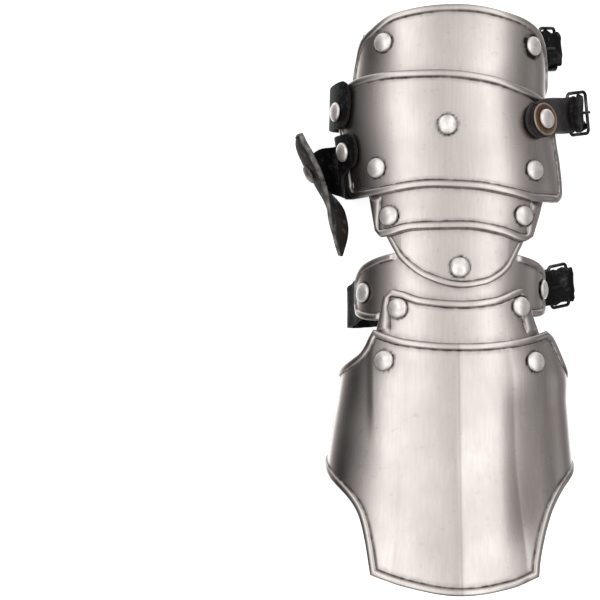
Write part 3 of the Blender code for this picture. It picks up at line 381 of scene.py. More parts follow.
# ---- meshes -------------------------------------------------------------------------
def add_object(name, data, location=(0, 0, 0)):
    thing = bpy.data.objects.new(name, data)
    thing.location = location
    bpy.context.scene.collection.objects.link(thing)
    return thing


def add_mesh(name, points, faces, look, node, slot, sharp=None, replaced=True, **attributes):
    """A piece from millimetre points, in place of a node of the part or beside it."""
    mesh = bpy.data.meshes.new(name)
    world = (np.asarray(points, float) + np.array(ORIGIN_SHIFT)) * MM
    mesh.from_pydata(world.tolist(), [], faces)
    mesh.validate()
    mesh.shade_smooth()
    if sharp is not None:
        mesh.set_sharp_from_angle(angle=math.radians(sharp))
    for key, values in attributes.items():
        layer = mesh.attributes.new(key, "FLOAT", "POINT")
        values = np.broadcast_to(np.asarray(values, np.float32), len(points))
        layer.data.foreach_set("value", np.ascontiguousarray(values))
    mesh.materials.append(look)
    piece = add_object(name, mesh)
    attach(piece, BODY_OF[node])
    if replaced:
        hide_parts(node)


def grid_faces(rows, columns, start=0, flip=False, closed=False):
    """Quads of a grid of points stored row by row; closed joins the last column to the first."""
    index = np.arange(rows * columns).reshape(rows, columns) + start
    if closed:
        index = np.concatenate((index, index[:, :1]), 1)
    quads = np.stack((index[:-1, :-1], index[:-1, 1:], index[1:, 1:], index[1:, :-1]), -1)
    quads = quads.reshape(-1, 4)
    return (quads[:, ::-1] if flip else quads).tolist()


def end_faces(rows, columns):
    """The two faces that close a tube of rings."""
    return [list(range(columns - 1, -1, -1)), list(range((rows - 1) * columns, rows * columns))]


def rim_loop(rows, columns):
    """Indices round the outside of a grid, in order."""
    index = np.arange(rows * columns).reshape(rows, columns)
    return np.concatenate((index[0], index[1:, -1], index[-1, -2::-1], index[-2:0:-1, 0]))


def add_sheet(name, at, lift, under, rim, grimes, look, off_keel=None):
    """A closed sheet of steel: outer grid, inner grid and one ring round the rim.

    at gives the grid's points at a height; grimes are the painted shade and grime of the three, in
    that order.
    """
    top, middle = at(lift), at(rim).reshape(-1, 3)
    rows, columns = top.shape[:2]
    count = rows * columns
    loop = rim_loop(rows, columns)
    ring = np.arange(len(loop)) + 2 * count
    points = np.concatenate((top.reshape(-1, 3), at(under).reshape(-1, 3), middle[loop]))
    following = np.roll(np.arange(len(loop)), -1)
    upper = np.stack((loop, ring, ring[following], loop[following]), -1)
    lower = np.stack((ring, loop + count, (loop + count)[following], ring[following]), -1)
    faces = grid_faces(rows, columns) + grid_faces(rows, columns, count, flip=True)
    grime = [np.broadcast_to(np.ravel(value), size)
             for value, size in zip(grimes, (count, count, len(loop)))]
    add_mesh(name + "_sheet", points, faces + upper.tolist() + lower.tolist(), look, name,
             "plate_steel", grime=np.concatenate(grime),
             off_keel=OFF_KEEL if off_keel is None else points[:, 0] - off_keel)


def turned_mesh(profile, segments, matrix, ruffle=None):
    """Points and faces turned round Z from (radius, height) rows, closed at both ends."""
    a = np.arange(segments) * 2 * math.pi / segments
    radius, height = np.array(profile).T
    rings = np.stack((radius[:, None] * np.cos(a), radius[:, None] * np.sin(a),
                      np.repeat(height[:, None], segments, 1)), -1)
    if ruffle is not None:
        rings = ruffle(rings)
    count = len(profile) * segments
    ends = np.array(((0, 0, rings[0, :, 2].mean()), (0, 0, rings[-1, :, 2].mean())))
    m = np.array(matrix)
    points = np.concatenate((rings.reshape(-1, 3), ends)) @ m[:3, :3].T + m[:3, 3]
    faces = grid_faces(len(profile), segments, closed=True)
    for i in range(segments):
        k = (i + 1) % segments
        faces.append([count, k, i])
        faces.append([count + 1, count - segments + i, count - segments + k])
    return points, faces


def tangents(path, closed=False):
    """Unit directions along a path."""
    if closed:
        return unit(np.roll(path, -1, 0) - np.roll(path, 1, 0))
    return unit(np.concatenate((path[1:], path[-1:])) - np.concatenate((path[:1], path[:-1])))


def lengths_along(path):
    return np.concatenate(((0,), np.cumsum(np.linalg.norm(np.diff(path, axis=0), axis=1))))


def smooth_rows(rows, samples):
    """Samples of a smooth path through rows of x, y, z and any further columns."""
    rows = np.array([list(row) for row in rows], float)
    where = lengths_along(rows[:, :3])
    at = np.linspace(0, where[-1], samples)
    return np.stack([smooth_values(where, column, at) for column in rows.T], -1)


# ---- plates -------------------------------------------------------------------------
def hem_lift(share):
    """Lift of a rolled border, as a share of its height, at a share of its width."""
    return smooth_values(HEM[:, 0], HEM[:, 1], np.clip(share, 0, HEM[-1, 0]))


def edge_places(rows, s):
    """Angles and places along the arm on an edge table."""
    s_rows, *columns = zip(*(row[:3] for row in rows))
    corners = [len(row) > 3 for row in rows]
    return np.stack([smooth_values(s_rows, column, np.clip(s, -1, 1), corners)
                     for column in columns], -1)


def edge_moves(rows, other, s, inward, zone):
    """How far a place on an edge moves, in (degrees, mm), for each millimetre into the plate."""
    place, across = edge_places(rows, s), edge_places(other, s)
    degree = form_frames(place[..., 0], place[..., 1])[2]

    def flat(a, b):
        return np.stack(((b[..., 0] - a[..., 0]) * degree, b[..., 1] - a[..., 1]), -1)

    step = 0.004
    column = unit(flat(place, across))
    behind = unit(flat(edge_places(rows, np.maximum(s - step, -1)),
                       edge_places(rows, np.maximum(s, step - 1))))
    ahead = unit(flat(edge_places(rows, np.minimum(s, 1 - step)),
                      edge_places(rows, np.minimum(s + step, 1))))
    runs = behind + ahead
    length = np.linalg.norm(runs, axis=-1, keepdims=True)
    normal = np.stack((-runs[..., 1], runs[..., 0]), -1) / length * inward
    normal = normal * np.minimum(1.5, 2.0 / length)
    for row in rows:
        if len(row) > 3:
            at = np.argmin(np.abs(s - row[0]))
            apart = np.linalg.norm(flat(place[at], place), axis=-1)
            near = 1 - smoothstep(0, CORNER_REACH, apart)[..., None]
            normal = normal + (normal[at] - normal) * near
    away = smoothstep(0, zone, 1 - np.abs(s))[..., None]
    facing = np.maximum(0.3, (column * unit(normal)).sum(-1, keepdims=True))
    move = column * np.minimum(1.5, 1 / facing) * (1 - away) + normal * away
    return place, np.stack((move[..., 0] / degree, move[..., 1]), -1)


def bare_share(spec, edge, places):
    """1 where an edge's border shows, falling to 0 where it is gone."""
    fade = spec.bare.get(edge, ())
    if not fade:
        return np.full(places.shape[:-1], 0.0 if fade is None else 1.0)
    kind, start, gone, slant = fade
    angle, y = places[..., 0], places[..., 1]
    value = np.abs(angle - slant) if kind == "angle" else y + slant * angle
    return 1 - smoothstep(start, gone, value)


def plate_grid(name):
    """(angle, y) of each grid point, its mm to the nearest bordered edge, that border's share."""
    spec = PLATES[name]
    head, foot = EDGES[name]["head"], EDGES[name]["foot"]
    depths = HEM[:, 0] * spec.hem[0]
    reach = depths[-1]
    kinds = [("foot", d) for d in depths]
    kinds += [("between", t) for t in np.linspace(0, 1, spec.rows + 1)[1:-1]]
    kinds += [("head", d) for d in depths[::-1]]

    # How much of s one millimetre takes at each side of each row.
    ends = np.array((-1, -.98, .98, 1))
    low, high = edge_places(foot, ends), edge_places(head, ends)
    per_mm = []
    for kind, value in kinds:
        places = low + (high - low) * {"foot": 0.0, "between": value, "head": 1.0}[kind]
        degree = form_frames(places[:, 0], places[:, 1])[2]
        flat = np.stack((places[:, 0] * degree, places[:, 1]), -1)
        per_mm.append(0.02 / np.linalg.norm(flat[1::2] - flat[::2], axis=-1))
    inner_limit = np.max(per_mm) * reach * 1.02
    inner = np.linspace(-1 + inner_limit, 1 - inner_limit, spec.columns)
    for row in head + foot:
        if len(row) > 3:
            inner[np.argmin(np.abs(inner - row[0]))] = row[0]

    grid, row_depth = [], []
    for (kind, value), (thumb_side, little_side) in zip(kinds, per_mm):
        s = np.concatenate((-1 + depths * thumb_side, inner, 1 - depths[::-1] * little_side))
        f, f_move = edge_moves(foot, head, s, 1, 2.2 * inner_limit)
        h, h_move = edge_moves(head, foot, s, -1, 2.2 * inner_limit)
        if kind == "foot":
            place = f + f_move * value
        elif kind == "head":
            place = h + h_move * value
        else:
            start, end = f + f_move * reach, h + h_move * reach
            place = start + (end - start) * value
        grid.append(place)
        bordered = kind != "between" and spec.bare.get(kind, ()) is not None
        row_depth.append(value if bordered else FAR)
    grid, row_depth = np.array(grid), np.array(row_depth)[:, None]
    side_depth = np.concatenate((depths, np.full(len(inner), FAR), depths[::-1]))
    if spec.bare.get("side", ()) is None:
        side_depth[:] = FAR
    shown = np.array([bare_share(spec, kind, row) for (kind, _), row in zip(kinds, grid)])
    share = np.where(row_depth < side_depth, shown, bare_share(spec, "side", grid))
    return grid, np.minimum(row_depth, side_depth), share


def cuff_faces(points):
    """Lift of the cuff's faces, which aren't quite flat beside its keel."""
    y, from_keel = points[..., 1], points[..., 0] - KEEL_PLACE
    # The little-finger side lies lower; near the wrist the middle rises as much.
    lift = -0.8 * (1 - np.exp(-np.maximum(0, from_keel) / 8.0))
    lift += 0.8 * smoothstep(-62, -45, y) * (1 - smoothstep(0, 45, -from_keel))
    # A long hollow down the little-finger side, deeper towards the elbow.
    hollow = 1.3 + 1.1 * smoothstep(70, 125, -y)
    lift -= hollow * between(-144, -116, -60, -40, y) * smoothstep(23, 47, from_keel)
    # A shallow one at the thumb side, near the wrist.
    return lift - 0.6 * between(-85, -55, -26, -21, y) * smoothstep(46.5, 51, -points[..., 0])


def plate_lift(name, share, shown, points, seed):
    """Height of the border, its seam and the sheet's slight unevenness."""
    lift = hem_lift(share) * PLATES[name].hem[1]
    near_seam = np.exp(-((share - SEAM_PLACE) / 0.05) ** 2)
    lift += near_seam * (-0.10 + 0.10 * ripple(points, (3.1, 4.3, 5.9, 7.7), seed))
    on_hem = 1 - smoothstep(0.9, 1.2, share)
    lift += on_hem * 0.05 * ripple(points, (9.0, 13.0, 19.0), seed + 1)
    lift = lift * shown + 0.07 * ripple(points, (26.0, 31.0, 37.0, 45.0), seed + 2)
    return lift + cuff_faces(points) if name == "cuff" else lift


def outline_points(name):
    """Points along the outline of a plate's outer face."""
    grid = plate_grid(name)[0]
    outline = np.concatenate((grid[0], grid[-1], grid[:, 0], grid[:, -1]))
    return shell_points(name, outline[:, 0], outline[:, 1], outer_face(name))


def nearest(points, others):
    """Distance from each point to the nearest of the others."""
    flat = points.reshape(-1, 3)
    result = np.empty(len(flat))
    for start in range(0, len(flat), 4000):
        block = flat[start:start + 4000]
        squares = ((block[:, None, :] - others[None, :, :]) ** 2).sum(-1)
        result[start:start + 4000] = np.sqrt(squares.min(1))
    return result.reshape(points.shape[:-1])


def plate_grime(name, distance, shown, base, rivet_places):
    """Painted shade in the seam, along the outer edge and just inside the border, round the rivets
    and beside the plates above.
    """
    width = PLATES[name].hem[0]
    share = distance / width
    # Painted shade: dark along the seam and the outer edge, and a fainter halo just inside the
    # border.
    seam = np.exp(-((share - SEAM_PLACE) / np.where(share < SEAM_PLACE, 0.16, 0.09)) ** 2)
    seam = np.maximum(0.85 * seam, 0.6 * (1 - smoothstep(0.03, 0.22, share)))
    halo = np.exp(-np.maximum(0, distance - width) / 1.6) * (distance > width)
    kinds = [np.maximum(seam, 0.45 * halo) * shown]
    if len(rivet_places):
        # Painted shade: a dark ring just outside each rivet head, and a faint wider one.
        ring = nearest(base, rivet_places) - RIVET_RADIUS
        kinds += [1.1 * (1 - smoothstep(0.6, 1.4, ring)), 0.10 * np.exp(-(ring / 4.0) ** 2)]
    if name == "knuckle_plate":
        # A wide painted dark ring, painted shade, round the rivet of the knuckle buckle's tab.
        shaded_rivet = shell_points(name, *BUCKLES["knuckle"].rivet, outer_face(name))
        ring = np.linalg.norm(base - shaded_rivet, axis=-1) - RIVET_RADIUS
        kinds.append(1.5 * (1 - smoothstep(0.8, 3.6, ring)))
    # Painted shadow beside the edges of the plates that lie above this one.
    above = [outline_points(other) for other in PLATES if PLATES[other].layer > PLATES[name].layer]
    if above:
        gap = nearest(base, np.concatenate(above)[::2])
        kinds.append(0.55 * np.exp(-np.maximum(0, gap - 1.5) / 1.1))
    return np.max(kinds, axis=0)


def build_plate(name, number, look, rivet_places):
    grid, distance, shown = plate_grid(name)
    outside = outer_face(name)

    def at(lift):
        return shell_points(name, grid[..., 0], grid[..., 1], outside + lift)

    base = at(0.0)
    lift = plate_lift(name, distance / PLATES[name].hem[0], shown, base, 10 * number)
    sunk = np.minimum(0, lift + 0.5)
    grime = plate_grime(name, distance, shown, base, rivet_places)
    # Painted shade on the outer face; the inner face darker at 0.5, and the rim ring at 0.8 as
    # painted shade along the edge.
    add_sheet(name, at, lift, sunk - SHEET, sunk - RIM_DEPTH, (grime, 0.5, 0.8), look,
              KEEL_PLACE if name == "cuff" else None)


# ---- rivets and the washer ----------------------------------------------------------
RIVET_SEGMENTS = 56
WASHER_SEGMENTS = 72


def rivet_profile(depth):
    """A low dome with a soft rim, and a shank that ends in a clench below."""
    r = RIVET_RADIUS
    dome = [(r * k, 2.6 - 1.12 * (k / 0.86) ** 2.1) for k in (.06, .2, .34, .48, .6, .7, .79, .86)]
    dome += [(r * .91, 1.28), (r * .95, 1.04), (r * .98, 0.76), (r * .995, 0.45)]
    skirt = [(r, 0.12), (r, -0.12), (r - 0.12, -0.28), (r - 0.5, -0.32),
             (SHANK_RADIUS + 0.3, -0.3), (SHANK_RADIUS, -0.5)]
    clench = [(SHANK_RADIUS, -depth), (CLENCH_RADIUS - 0.2, -depth), (CLENCH_RADIUS, -depth - 0.2),
              (CLENCH_RADIUS - 0.6, -depth - CLENCH_THICK), (1.0, -depth - CLENCH_THICK)]
    return dome + skirt + clench


def build_rivet(name, matrix, depth, look, number):
    def ruffle(rings):
        """Each head is slightly out of true."""
        tilt = np.random.default_rng(500 + number).normal(0, 0.010, 2)
        rings[..., 2] += (rings[..., 0] * tilt[0] + rings[..., 1] * tilt[1]) \
            * (rings[..., 2] > 0)
        rings[..., 2] += 0.05 * ripple(rings, (4.5, 6.0, 8.0), number) * (rings[..., 2] > 0.3)
        return rings

    profile = rivet_profile(depth)
    points, faces = turned_mesh(profile, RIVET_SEGMENTS, matrix, ruffle)
    height = np.repeat([h for _, h in profile], RIVET_SEGMENTS)
    # Painted shade at the foot of the head and below it: darker where the profile is under 0.75 mm
    # high.
    grime = np.concatenate((1 - smoothstep(-0.1, 0.75, height), (0, 1)))
    add_mesh(name + "_dome", points, faces, look, name, "rivet_steel", sharp=60,
             grime=grime, off_keel=OFF_KEEL)


def fasten_matrix(plate, spot, thickness, outside, washer=0.0):
    """Where the rivet sits that holds leather to a plate, and how deep its shank goes."""
    under_head = outer_face(plate) + HEAD_GAP
    if outside:
        under_head += OUTSIDE_GAP + thickness + washer
    gap = OUTSIDE_GAP if outside else INSIDE_GAP
    depth = HEAD_GAP + gap + thickness + washer + SHEET + CLENCH_GAP
    return normal_matrix(plate, *spot, under_head), depth


def build_washer(matrix, look):
    """A stamped washer: rolled rim with a painted highlight, shallow dish and a raised collar round
    the rivet.
    """
    low = -0.3 - WASHER_THICK
    r = WASHER_RADIUS
    profile = [(2.4, -0.42), (5.6, -0.42), (6.2, -0.5), (r - 2.4, -0.72), (r - 1.6, -0.66),
               (r - 1.1, -0.45), (r - 0.7, -0.34), (r - 0.3, -0.42), (r, -0.75), (r, low + 0.25),
               (r - 0.3, low), (3.0, low)]
    points, faces = turned_mesh(profile, WASHER_SEGMENTS, matrix)
    radius = np.repeat([p[0] for p in profile], WASHER_SEGMENTS)
    # A painted highlight round the rolled rim.
    rim = np.exp(-((radius - r + 0.55) / 0.5) ** 2)
    low_side = smoothstep(-6.5, 6.5, matrix.translation.y - points[:-2, 1])
    # The hollow attribute is painted shadow round the rivet, dark within 5.4 mm of the middle.
    add_mesh("palm_washer_disc", points, faces, look, "palm_washer", "copper", sharp=50,
             rim=np.append(rim, (0, 0)), ochre=np.append(low_side, (0.5, 0.5)),
             hollow=np.append(1 - smoothstep(5.4, 7.2, radius), (1, 1)))


# ---- leather and wire ---------------------------------------------------------------
SECTION = np.array((
    # across, up: half of a leather strap's cut edge, from the middle of its top downwards
    (0.0, 1.0), (0.3, 1.0), (0.55, 1.0), (0.75, 0.99), (0.88, 0.96), (0.94, 0.9),
    (0.975, 0.74), (0.995, 0.45), (1.0, 0.1), (0.998, -0.35), (0.985, -0.75), (0.95, -0.94),
    (0.88, -1.0), (0.6, -1.0), (0.3, -1.0), (0.0, -1.0),
))
SECTION = np.concatenate((SECTION, SECTION[-2:0:-1] * (-1, 1)))


def leather_centre(plate, outside, thickness):
    """Height above the form of leather that lies on a plate's outer or inner face."""
    if outside:
        return outer_face(plate) + OUTSIDE_GAP + thickness / 2
    return outer_face(plate) - SHEET - INSIDE_GAP - thickness / 2


def round_end(halves, path, start, finish, power=2.3):
    """Half widths that close in a rounded end over the given lengths."""
    where = lengths_along(path)
    share = np.ones(len(path))
    for length, place in ((start, where), (finish, where[-1] - where)):
        if length:
            share *= (1 - np.clip(1 - place / length, 0, 1) ** power) ** (1 / power)
    return halves * np.maximum(share, 0.12)


def add_ribbon(name, path, acrosses, halves, look, node, thick=LEATHER, ragged=0.0, seed=0,
               replaced=True):
    """A band of leather with worn edges, flattened where it rests on the floor."""
    tangent = tangents(path)
    across = unit(acrosses - tangent * (acrosses * tangent).sum(-1, keepdims=True))
    up = np.cross(tangent, across)
    edge = 0.35 + 0.65 * np.minimum(1.0, 2.5 * thick / halves)[:, None]
    across_share = np.sign(SECTION[:, 0]) * (1 - (1 - np.abs(SECTION[:, 0])) * edge / edge.max())
    wide = across_share * halves[:, None]
    ragged = np.broadcast_to(ragged, len(path))[:, None]
    for side, shift in ((1, 0.0), (-1, 40.0)):
        worn = ripple(path + shift, (2.3, 3.1, 4.7, 7.3), 300 + seed)[:, None]
        wide = wide + (np.sign(across_share) == side) * np.abs(across_share) ** 3 \
            * side * ragged * worn
    rings = (path[:, None, :] + across[:, None, :] * wide[..., None]
             + up[:, None, :] * (SECTION[:, 1] * thick / 2)[None, :, None])
    lump = ripple(rings, (4.1, 5.3, 8.9), 340 + seed) * ragged * 0.35
    points = (rings + up[:, None, :] * lump[..., None]).reshape(-1, 3)
    points[:, 2] = np.maximum(points[:, 2], 0)
    rows, columns = len(path), len(SECTION)
    faces = grid_faces(rows, columns, closed=True) + end_faces(rows, columns)
    cut = np.tile(1 - smoothstep(0.75, 0.98, np.abs(SECTION[:, 1])), rows)
    add_mesh(name, points, faces, look, node, "black_leather", replaced=replaced, cut=cut)


def add_wire(name, path, radius, sides, plane_normal, look, node, closed=False):
    """A round wire along a path that lies in a plane."""
    path, normal = np.array(path), np.array(plane_normal)
    side = unit(np.cross(tangents(path, closed), normal))
    a = np.arange(sides) * 2 * math.pi / sides
    rings = path[:, None, :] + radius * (side[:, None, :] * np.cos(a)[None, :, None]
                                         + normal[None, None, :] * np.sin(a)[None, :, None])
    faces = grid_faces(len(path) + closed, sides, closed=True)
    faces = [[i % (len(path) * sides) for i in face] for face in faces]
    if not closed:
        faces += end_faces(len(path), sides)
    add_mesh(name, rings.reshape(-1, 3), faces, look, node, "black_wire")


def buckle_frame(name):
    """Axes of a buckle: X towards the far bar, Y along the bars, Z outwards."""
    spec = BUCKLES[name]
    fall = math.radians(spec.fall)
    away = Vector((math.cos(fall), 0, -math.sin(fall)))
    outward = Vector((math.sin(fall), 0, math.cos(fall)))
    turn = Matrix.Rotation(math.radians(spec.turn), 3, outward)
    return axes_matrix(Vector(spec.pivot), turn @ away, turn @ Vector((0, 1, 0)), outward)


def in_frame(matrix, places):
    """World points of (along, outwards) places in a buckle's middle plane."""
    return np.array([matrix @ Vector((u, 0, n)) for u, n in places])


def circle(radius, degrees):
    return [(radius * math.cos(a), radius * math.sin(a)) for a in np.radians(degrees)]


def build_buckle(name, wire_look, leather_look):
    matrix = buckle_frame(name)
    far, side = BUCKLE_LENGTH - BUCKLE_CORNER, BUCKLE_HALF_WIDTH - BUCKLE_CORNER
    path = np.array([(u + x, w + y) for u, w, end in (
        (far, side, 90), (BUCKLE_CORNER, side, 180), (BUCKLE_CORNER, -side, 270), (far, -side, 360))
        for x, y in circle(BUCKLE_CORNER, np.linspace(end - 90, end, 9))])
    flat = np.pad(path, ((0, 0), (0, 1)))
    path += 0.10 * np.stack((ripple(flat, (7, 11), 91), ripple(flat, (8, 13), 92)), -1)
    path = [matrix @ Vector((u, w, 0)) for u, w in path]
    bars, outward = matrix.col[1].xyz, matrix.col[2].xyz
    add_wire(name + "_wire", path, WIRE_RADIUS, 14, outward, wire_look,
             name + "_buckle_frame", closed=True)

    ring = EYE_HOLE + PRONG_RADIUS
    route = circle(ring, np.arange(-70, -271, -12.5))
    route += [(u, ring) for u in (2, 4, 7, 10, 13, BUCKLE_LENGTH - 0.4)]
    add_wire(name + "_tongue", in_frame(matrix, route), PRONG_RADIUS, 12, bars, wire_look,
             name + "_buckle_prong")
    build_tab(name, matrix, leather_look)


def build_tab(name, matrix, look):
    """Leather folded round the pivot bar, its two layers lying on each other at the rivet."""
    spec = BUCKLES[name]
    plate, angle, y = spec.plate, *spec.rivet
    height = leather_centre(plate, spec.outside, TAB_THICK)
    layer = TAB_THICK / 3
    gap = EYE_RADIUS + 1.5

    def on_plate(offset, short):
        """Places from the rounded end to the pivot bar, the end drawn back by some degrees."""
        step = (angle - spec.end_angle) / 2
        angles = [spec.end_angle + short] + [spec.end_angle + step * k for k in (1, 2, 3)]
        rows = [shell_point(plate, a, y + spec.drift * max(0, k - 2),
                            height + offset + spec.rise * max(0, k - 2))
                for k, a in enumerate(angles)]
        return rows + [matrix @ Vector((-gap, 0, offset))]

    turn = circle(EYE_HOLE + 0.25 + layer / 2, (100, 75, 50, 25, 0, -25, -50, -75, -100))
    rows = on_plate(layer, 6.0 if spec.outside else 1.0) + list(in_frame(matrix, turn))
    path = smooth_rows(rows + on_plate(-layer, 0.0)[::-1], 150)
    first = along_arm(plate, angle, y)
    near = np.linalg.norm(path - np.array(matrix.translation), axis=1)
    share = 1 - smoothstep(5, 16, near)[:, None]
    acrosses = first * (1 - share) + np.array(matrix.col[1].xyz) * share
    halves = round_end(TAB_HALF_WIDTH, path, 9.0, 9.0, 2.1)
    add_ribbon(name + "_tab_fold", path, acrosses, halves, look, name + "_tab", layer * 0.94)
    if spec.outside:
        path = smooth_rows(on_plate(0, 3.0), 60)
        halves = round_end(TAB_HALF_WIDTH + 0.3, path, 9.5, 0.0, 2.1)
        add_ribbon(name + "_tab_filler", path, first, halves, look, name + "_tab", layer * 0.94,
                   replaced=False)


def build_strap(name, number, look):
    """One whole strap: off the plate, under the palm and up through its buckle."""
    spec, buckle, matrix = STRAPS[name], BUCKLES[name], buckle_frame(name)
    plate, y = buckle.plate, spec.y
    height = leather_centre(plate, buckle.outside, LEATHER)
    clear = EYE_RADIUS + 0.4 + LYING
    rows = [shell_point(plate, a, y, height) for a in spec.angles] + [*spec.route]
    samples, last = 260, 110
    if buckle.outside:
        # Up through the frame, beside the tab's fold, and over the pivot bar.
        through = [(15.6, -5.2), (14.9, -2.9), (11.6, -0.9), (7.5, 1.7), (3.0, clear - 0.7),
                   (0.0, clear), (-buckle.tail, clear - 0.2)]
        path = smooth_rows(rows + list(in_frame(matrix, through)), samples)
        turning, turned_by = 0.8, 1.0
    else:
        # Up outside the far bar, over it and down under the pivot bar.
        bend = [(BUCKLE_LENGTH + 2.1, -1.8), (BUCKLE_LENGTH + 2.75, 0.0),
                (BUCKLE_LENGTH + 1.95, 1.95), (BUCKLE_LENGTH, 2.75), (13.0, 2.2), (9.5, 0.2),
                (6.0, -2.4), (3.0, -4.4), (0.0, -clear - 0.2), (-buckle.tail, -clear - 0.2)]
        bend = in_frame(matrix, bend)
        path = np.concatenate((smooth_rows(rows + [bend[0]], samples - last),
                               smooth_rows(bend, last + 1)[1:]))
        turning, turned_by = 0.48, 0.575
    path[:, 2] = np.where(path[:, 2] < LYING + 0.02, LYING, path[:, 2])
    # Its width points along the plate, then along the arm, and at last along the bars.
    part = np.linspace(0, 1, samples)
    start = np.clip(part / 0.2, 0, 1)[:, None]
    end = np.clip((part - turning) / (turned_by - turning), 0, 1)[:, None]
    acrosses = along_arm(plate, spec.angles[0], y) * (1 - start) \
        + np.array((0.0, 1.0, 0.0)) * (start - end) + np.array(matrix.col[1].xyz) * end
    halves = spec.half_width + (STRAP_WIDTH / 2 - spec.half_width) * np.minimum(1, part / 0.3)
    halves = round_end(halves, path, 8.0, 6.0)
    in_buckle = np.linalg.norm(path - in_frame(matrix, [(BUCKLE_LENGTH / 2, 0)]), axis=1)
    ragged = 0.12 + 0.75 * (1 - smoothstep(12, 17, in_buckle))
    if not buckle.outside:
        halves = halves - 3.0 * np.exp(-(np.linalg.norm(path - bend[1], axis=1) / 2.6) ** 2)
    add_ribbon(name + "_strap_leather", path, acrosses, halves, look, name + "_strap",
               ragged=ragged, seed=number)


# ---- the thumb's leaf and its flap --------------------------------------------------
def leaf_frames(t):
    """Middle points, along, across (downwards), outwards and half widths of the leaf."""
    x, y, half, lean = smooth_columns(LEAF, (1, 2, 3, 4), t)
    behind = smooth_columns(LEAF, (1, 2), np.maximum(0, t - 0.02))
    ahead = smooth_columns(LEAF, (1, 2), np.minimum(1, t + 0.02))
    run = unit(np.stack((ahead[0] - behind[0], ahead[1] - behind[1], np.zeros_like(t)), -1))
    lean = np.radians(lean)
    down = np.stack((np.sin(lean), np.zeros_like(t), -np.cos(lean)), -1)
    down = unit(down - run * (down * run).sum(-1, keepdims=True))
    outward = unit(np.cross(run, down))
    outward *= np.where(outward[..., :1] > 0, -1, 1)
    return np.stack((x, y, np.full_like(t, LEAF_HEIGHT)), -1), run, down, outward, half


def leaf_points(t, v, lift):
    t, v, lift = np.broadcast_arrays(*(np.asarray(values, float) for values in (t, v, lift)))
    middle, _, down, outward, half = leaf_frames(t)
    half, v = half[..., None], v[..., None]
    depth = LEAF_DEPTH * half / LEAF_WIDEST
    normal = unit(outward + down * 2 * depth * v / half)
    return middle + down * half * v + outward * depth * (1 - v * v) + normal * lift[..., None]


def build_leaf(look):
    """The thumb's leaf: bulged outwards, with a rolled border all round."""
    hem_width, hem_height = LEAF_HEM
    ends = np.array((0, .004, .009, .015, .022, .03, .037, .042, .048, .056))
    t = np.concatenate((ends, np.linspace(.068, .94, 90), 1 - ends[::-1]))
    half = leaf_frames(t)[4][:, None]
    depths = HEM[:, 0] * hem_width
    rim = np.minimum(depths, 0.45 * half * depths / depths[-1]) / half
    inner = np.linspace(-1, 1, 42)[1:-1] * (1 - rim[:, -1:])
    v = np.concatenate((-1 + rim, inner, 1 - rim[:, ::-1]), axis=1)
    t = np.repeat(t[:, None], v.shape[1], 1)
    share = np.minimum((1 - np.abs(v)) * half, np.minimum(t, 1 - t) * LEAF_LENGTH) / hem_width

    def at(lift):
        return leaf_points(t, v, lift)

    base = at(0.0)
    lift = hem_height * hem_lift(share) + 0.08 * ripple(base, (11.0, 17.0, 23.0), 71)
    under = -SHEET - 0.05 * ripple(base, (7.0, 9.0, 13.0), 72)
    # Painted shade in the seam and over the inner face (1.6); the blackened face beyond the border
    # is darkened, and the border's crest is left lighter, partly wear and partly a painted
    # highlight.
    seam = np.exp(-((share - SEAM_PLACE) / 0.1) ** 2)
    grime = np.maximum(seam, 0.05 + 1.4 * smoothstep(0.45, 0.8, share))
    add_sheet("thumb_plate", at, lift, under, -RIM_DEPTH, (grime, 1.6, 0.45), look)


def leaf_matrix():
    """Where the leaf's rivet sits: its Z is the leaf's outward normal."""
    here = Vector(leaf_points(*LEAF_RIVET, 0.0))
    normal = (Vector(leaf_points(*LEAF_RIVET, 1.0)) - here).normalized()
    run = Vector(leaf_frames(np.array(LEAF_RIVET[0]))[1])
    run = (run - normal * run.dot(normal)).normalized()
    return axes_matrix(here + normal * RIVET_LIFT, run, normal.cross(run), normal)


def build_flap(look):
    """The leather from the hand plate, round under its side edge, to behind the leaf."""
    height = leather_centre("hand_plate", True, LEATHER)
    behind = -SHEET - LEAF_GAP - LEATHER / 2
    rows = [(*shell_point("hand_plate", angle, FLAP_TOP - half, height), half)
            for angle, half in FLAP_ON_PLATE]
    rows += FLAP_FREE
    rows += [(*leaf_points(LEAF_RIVET[0], v, behind), half) for v, half in FLAP_ON_LEAF]
    path = smooth_rows(rows, 110)
    share = np.clip((np.linspace(0, 1, len(path)) - 0.4) / 0.6, 0, 1)[:, None]
    acrosses = along_arm("hand_plate", FLAP_ON_PLATE[1][0], FLAP_RIVET[1]) * (1 - share) \
        - leaf_frames(np.array(LEAF_RIVET[0]))[1] * share
    add_ribbon("thumb_flap_leather", path[:, :3], acrosses,
               round_end(path[:, 3], path[:, :3], 6.0, 4.0), look, "thumb_flap")


# ---- finishes -----------------------------------------------------------------------
# Light and dark of each steel, and the colours of leather, dirt specks, painted shade (along the
# keel, and in seams and recesses with some grime) and rubbed places.
PLATE_STEEL = ((0.70, 0.628, 0.60), (0.61, 0.541, 0.514))
RIVET_STEEL = ((0.96, 0.90, 0.87), (0.68, 0.61, 0.58))
LEAF_STEEL = ((0.36, 0.325, 0.31), (0.03, 0.025, 0.022))
SPECK, KEEL_SHADE, SHADE_AND_GRIME_COLOUR = (0.30, 0.25, 0.22), (0.20, 0.16, 0.145), (0.016, 0.011, 0.009)
STRAP_BLACK, TAB_BLACK = (0.0035, 0.0033, 0.0035), (0.028, 0.025, 0.026)
RUBBED = (0.15, 0.145, 0.14)


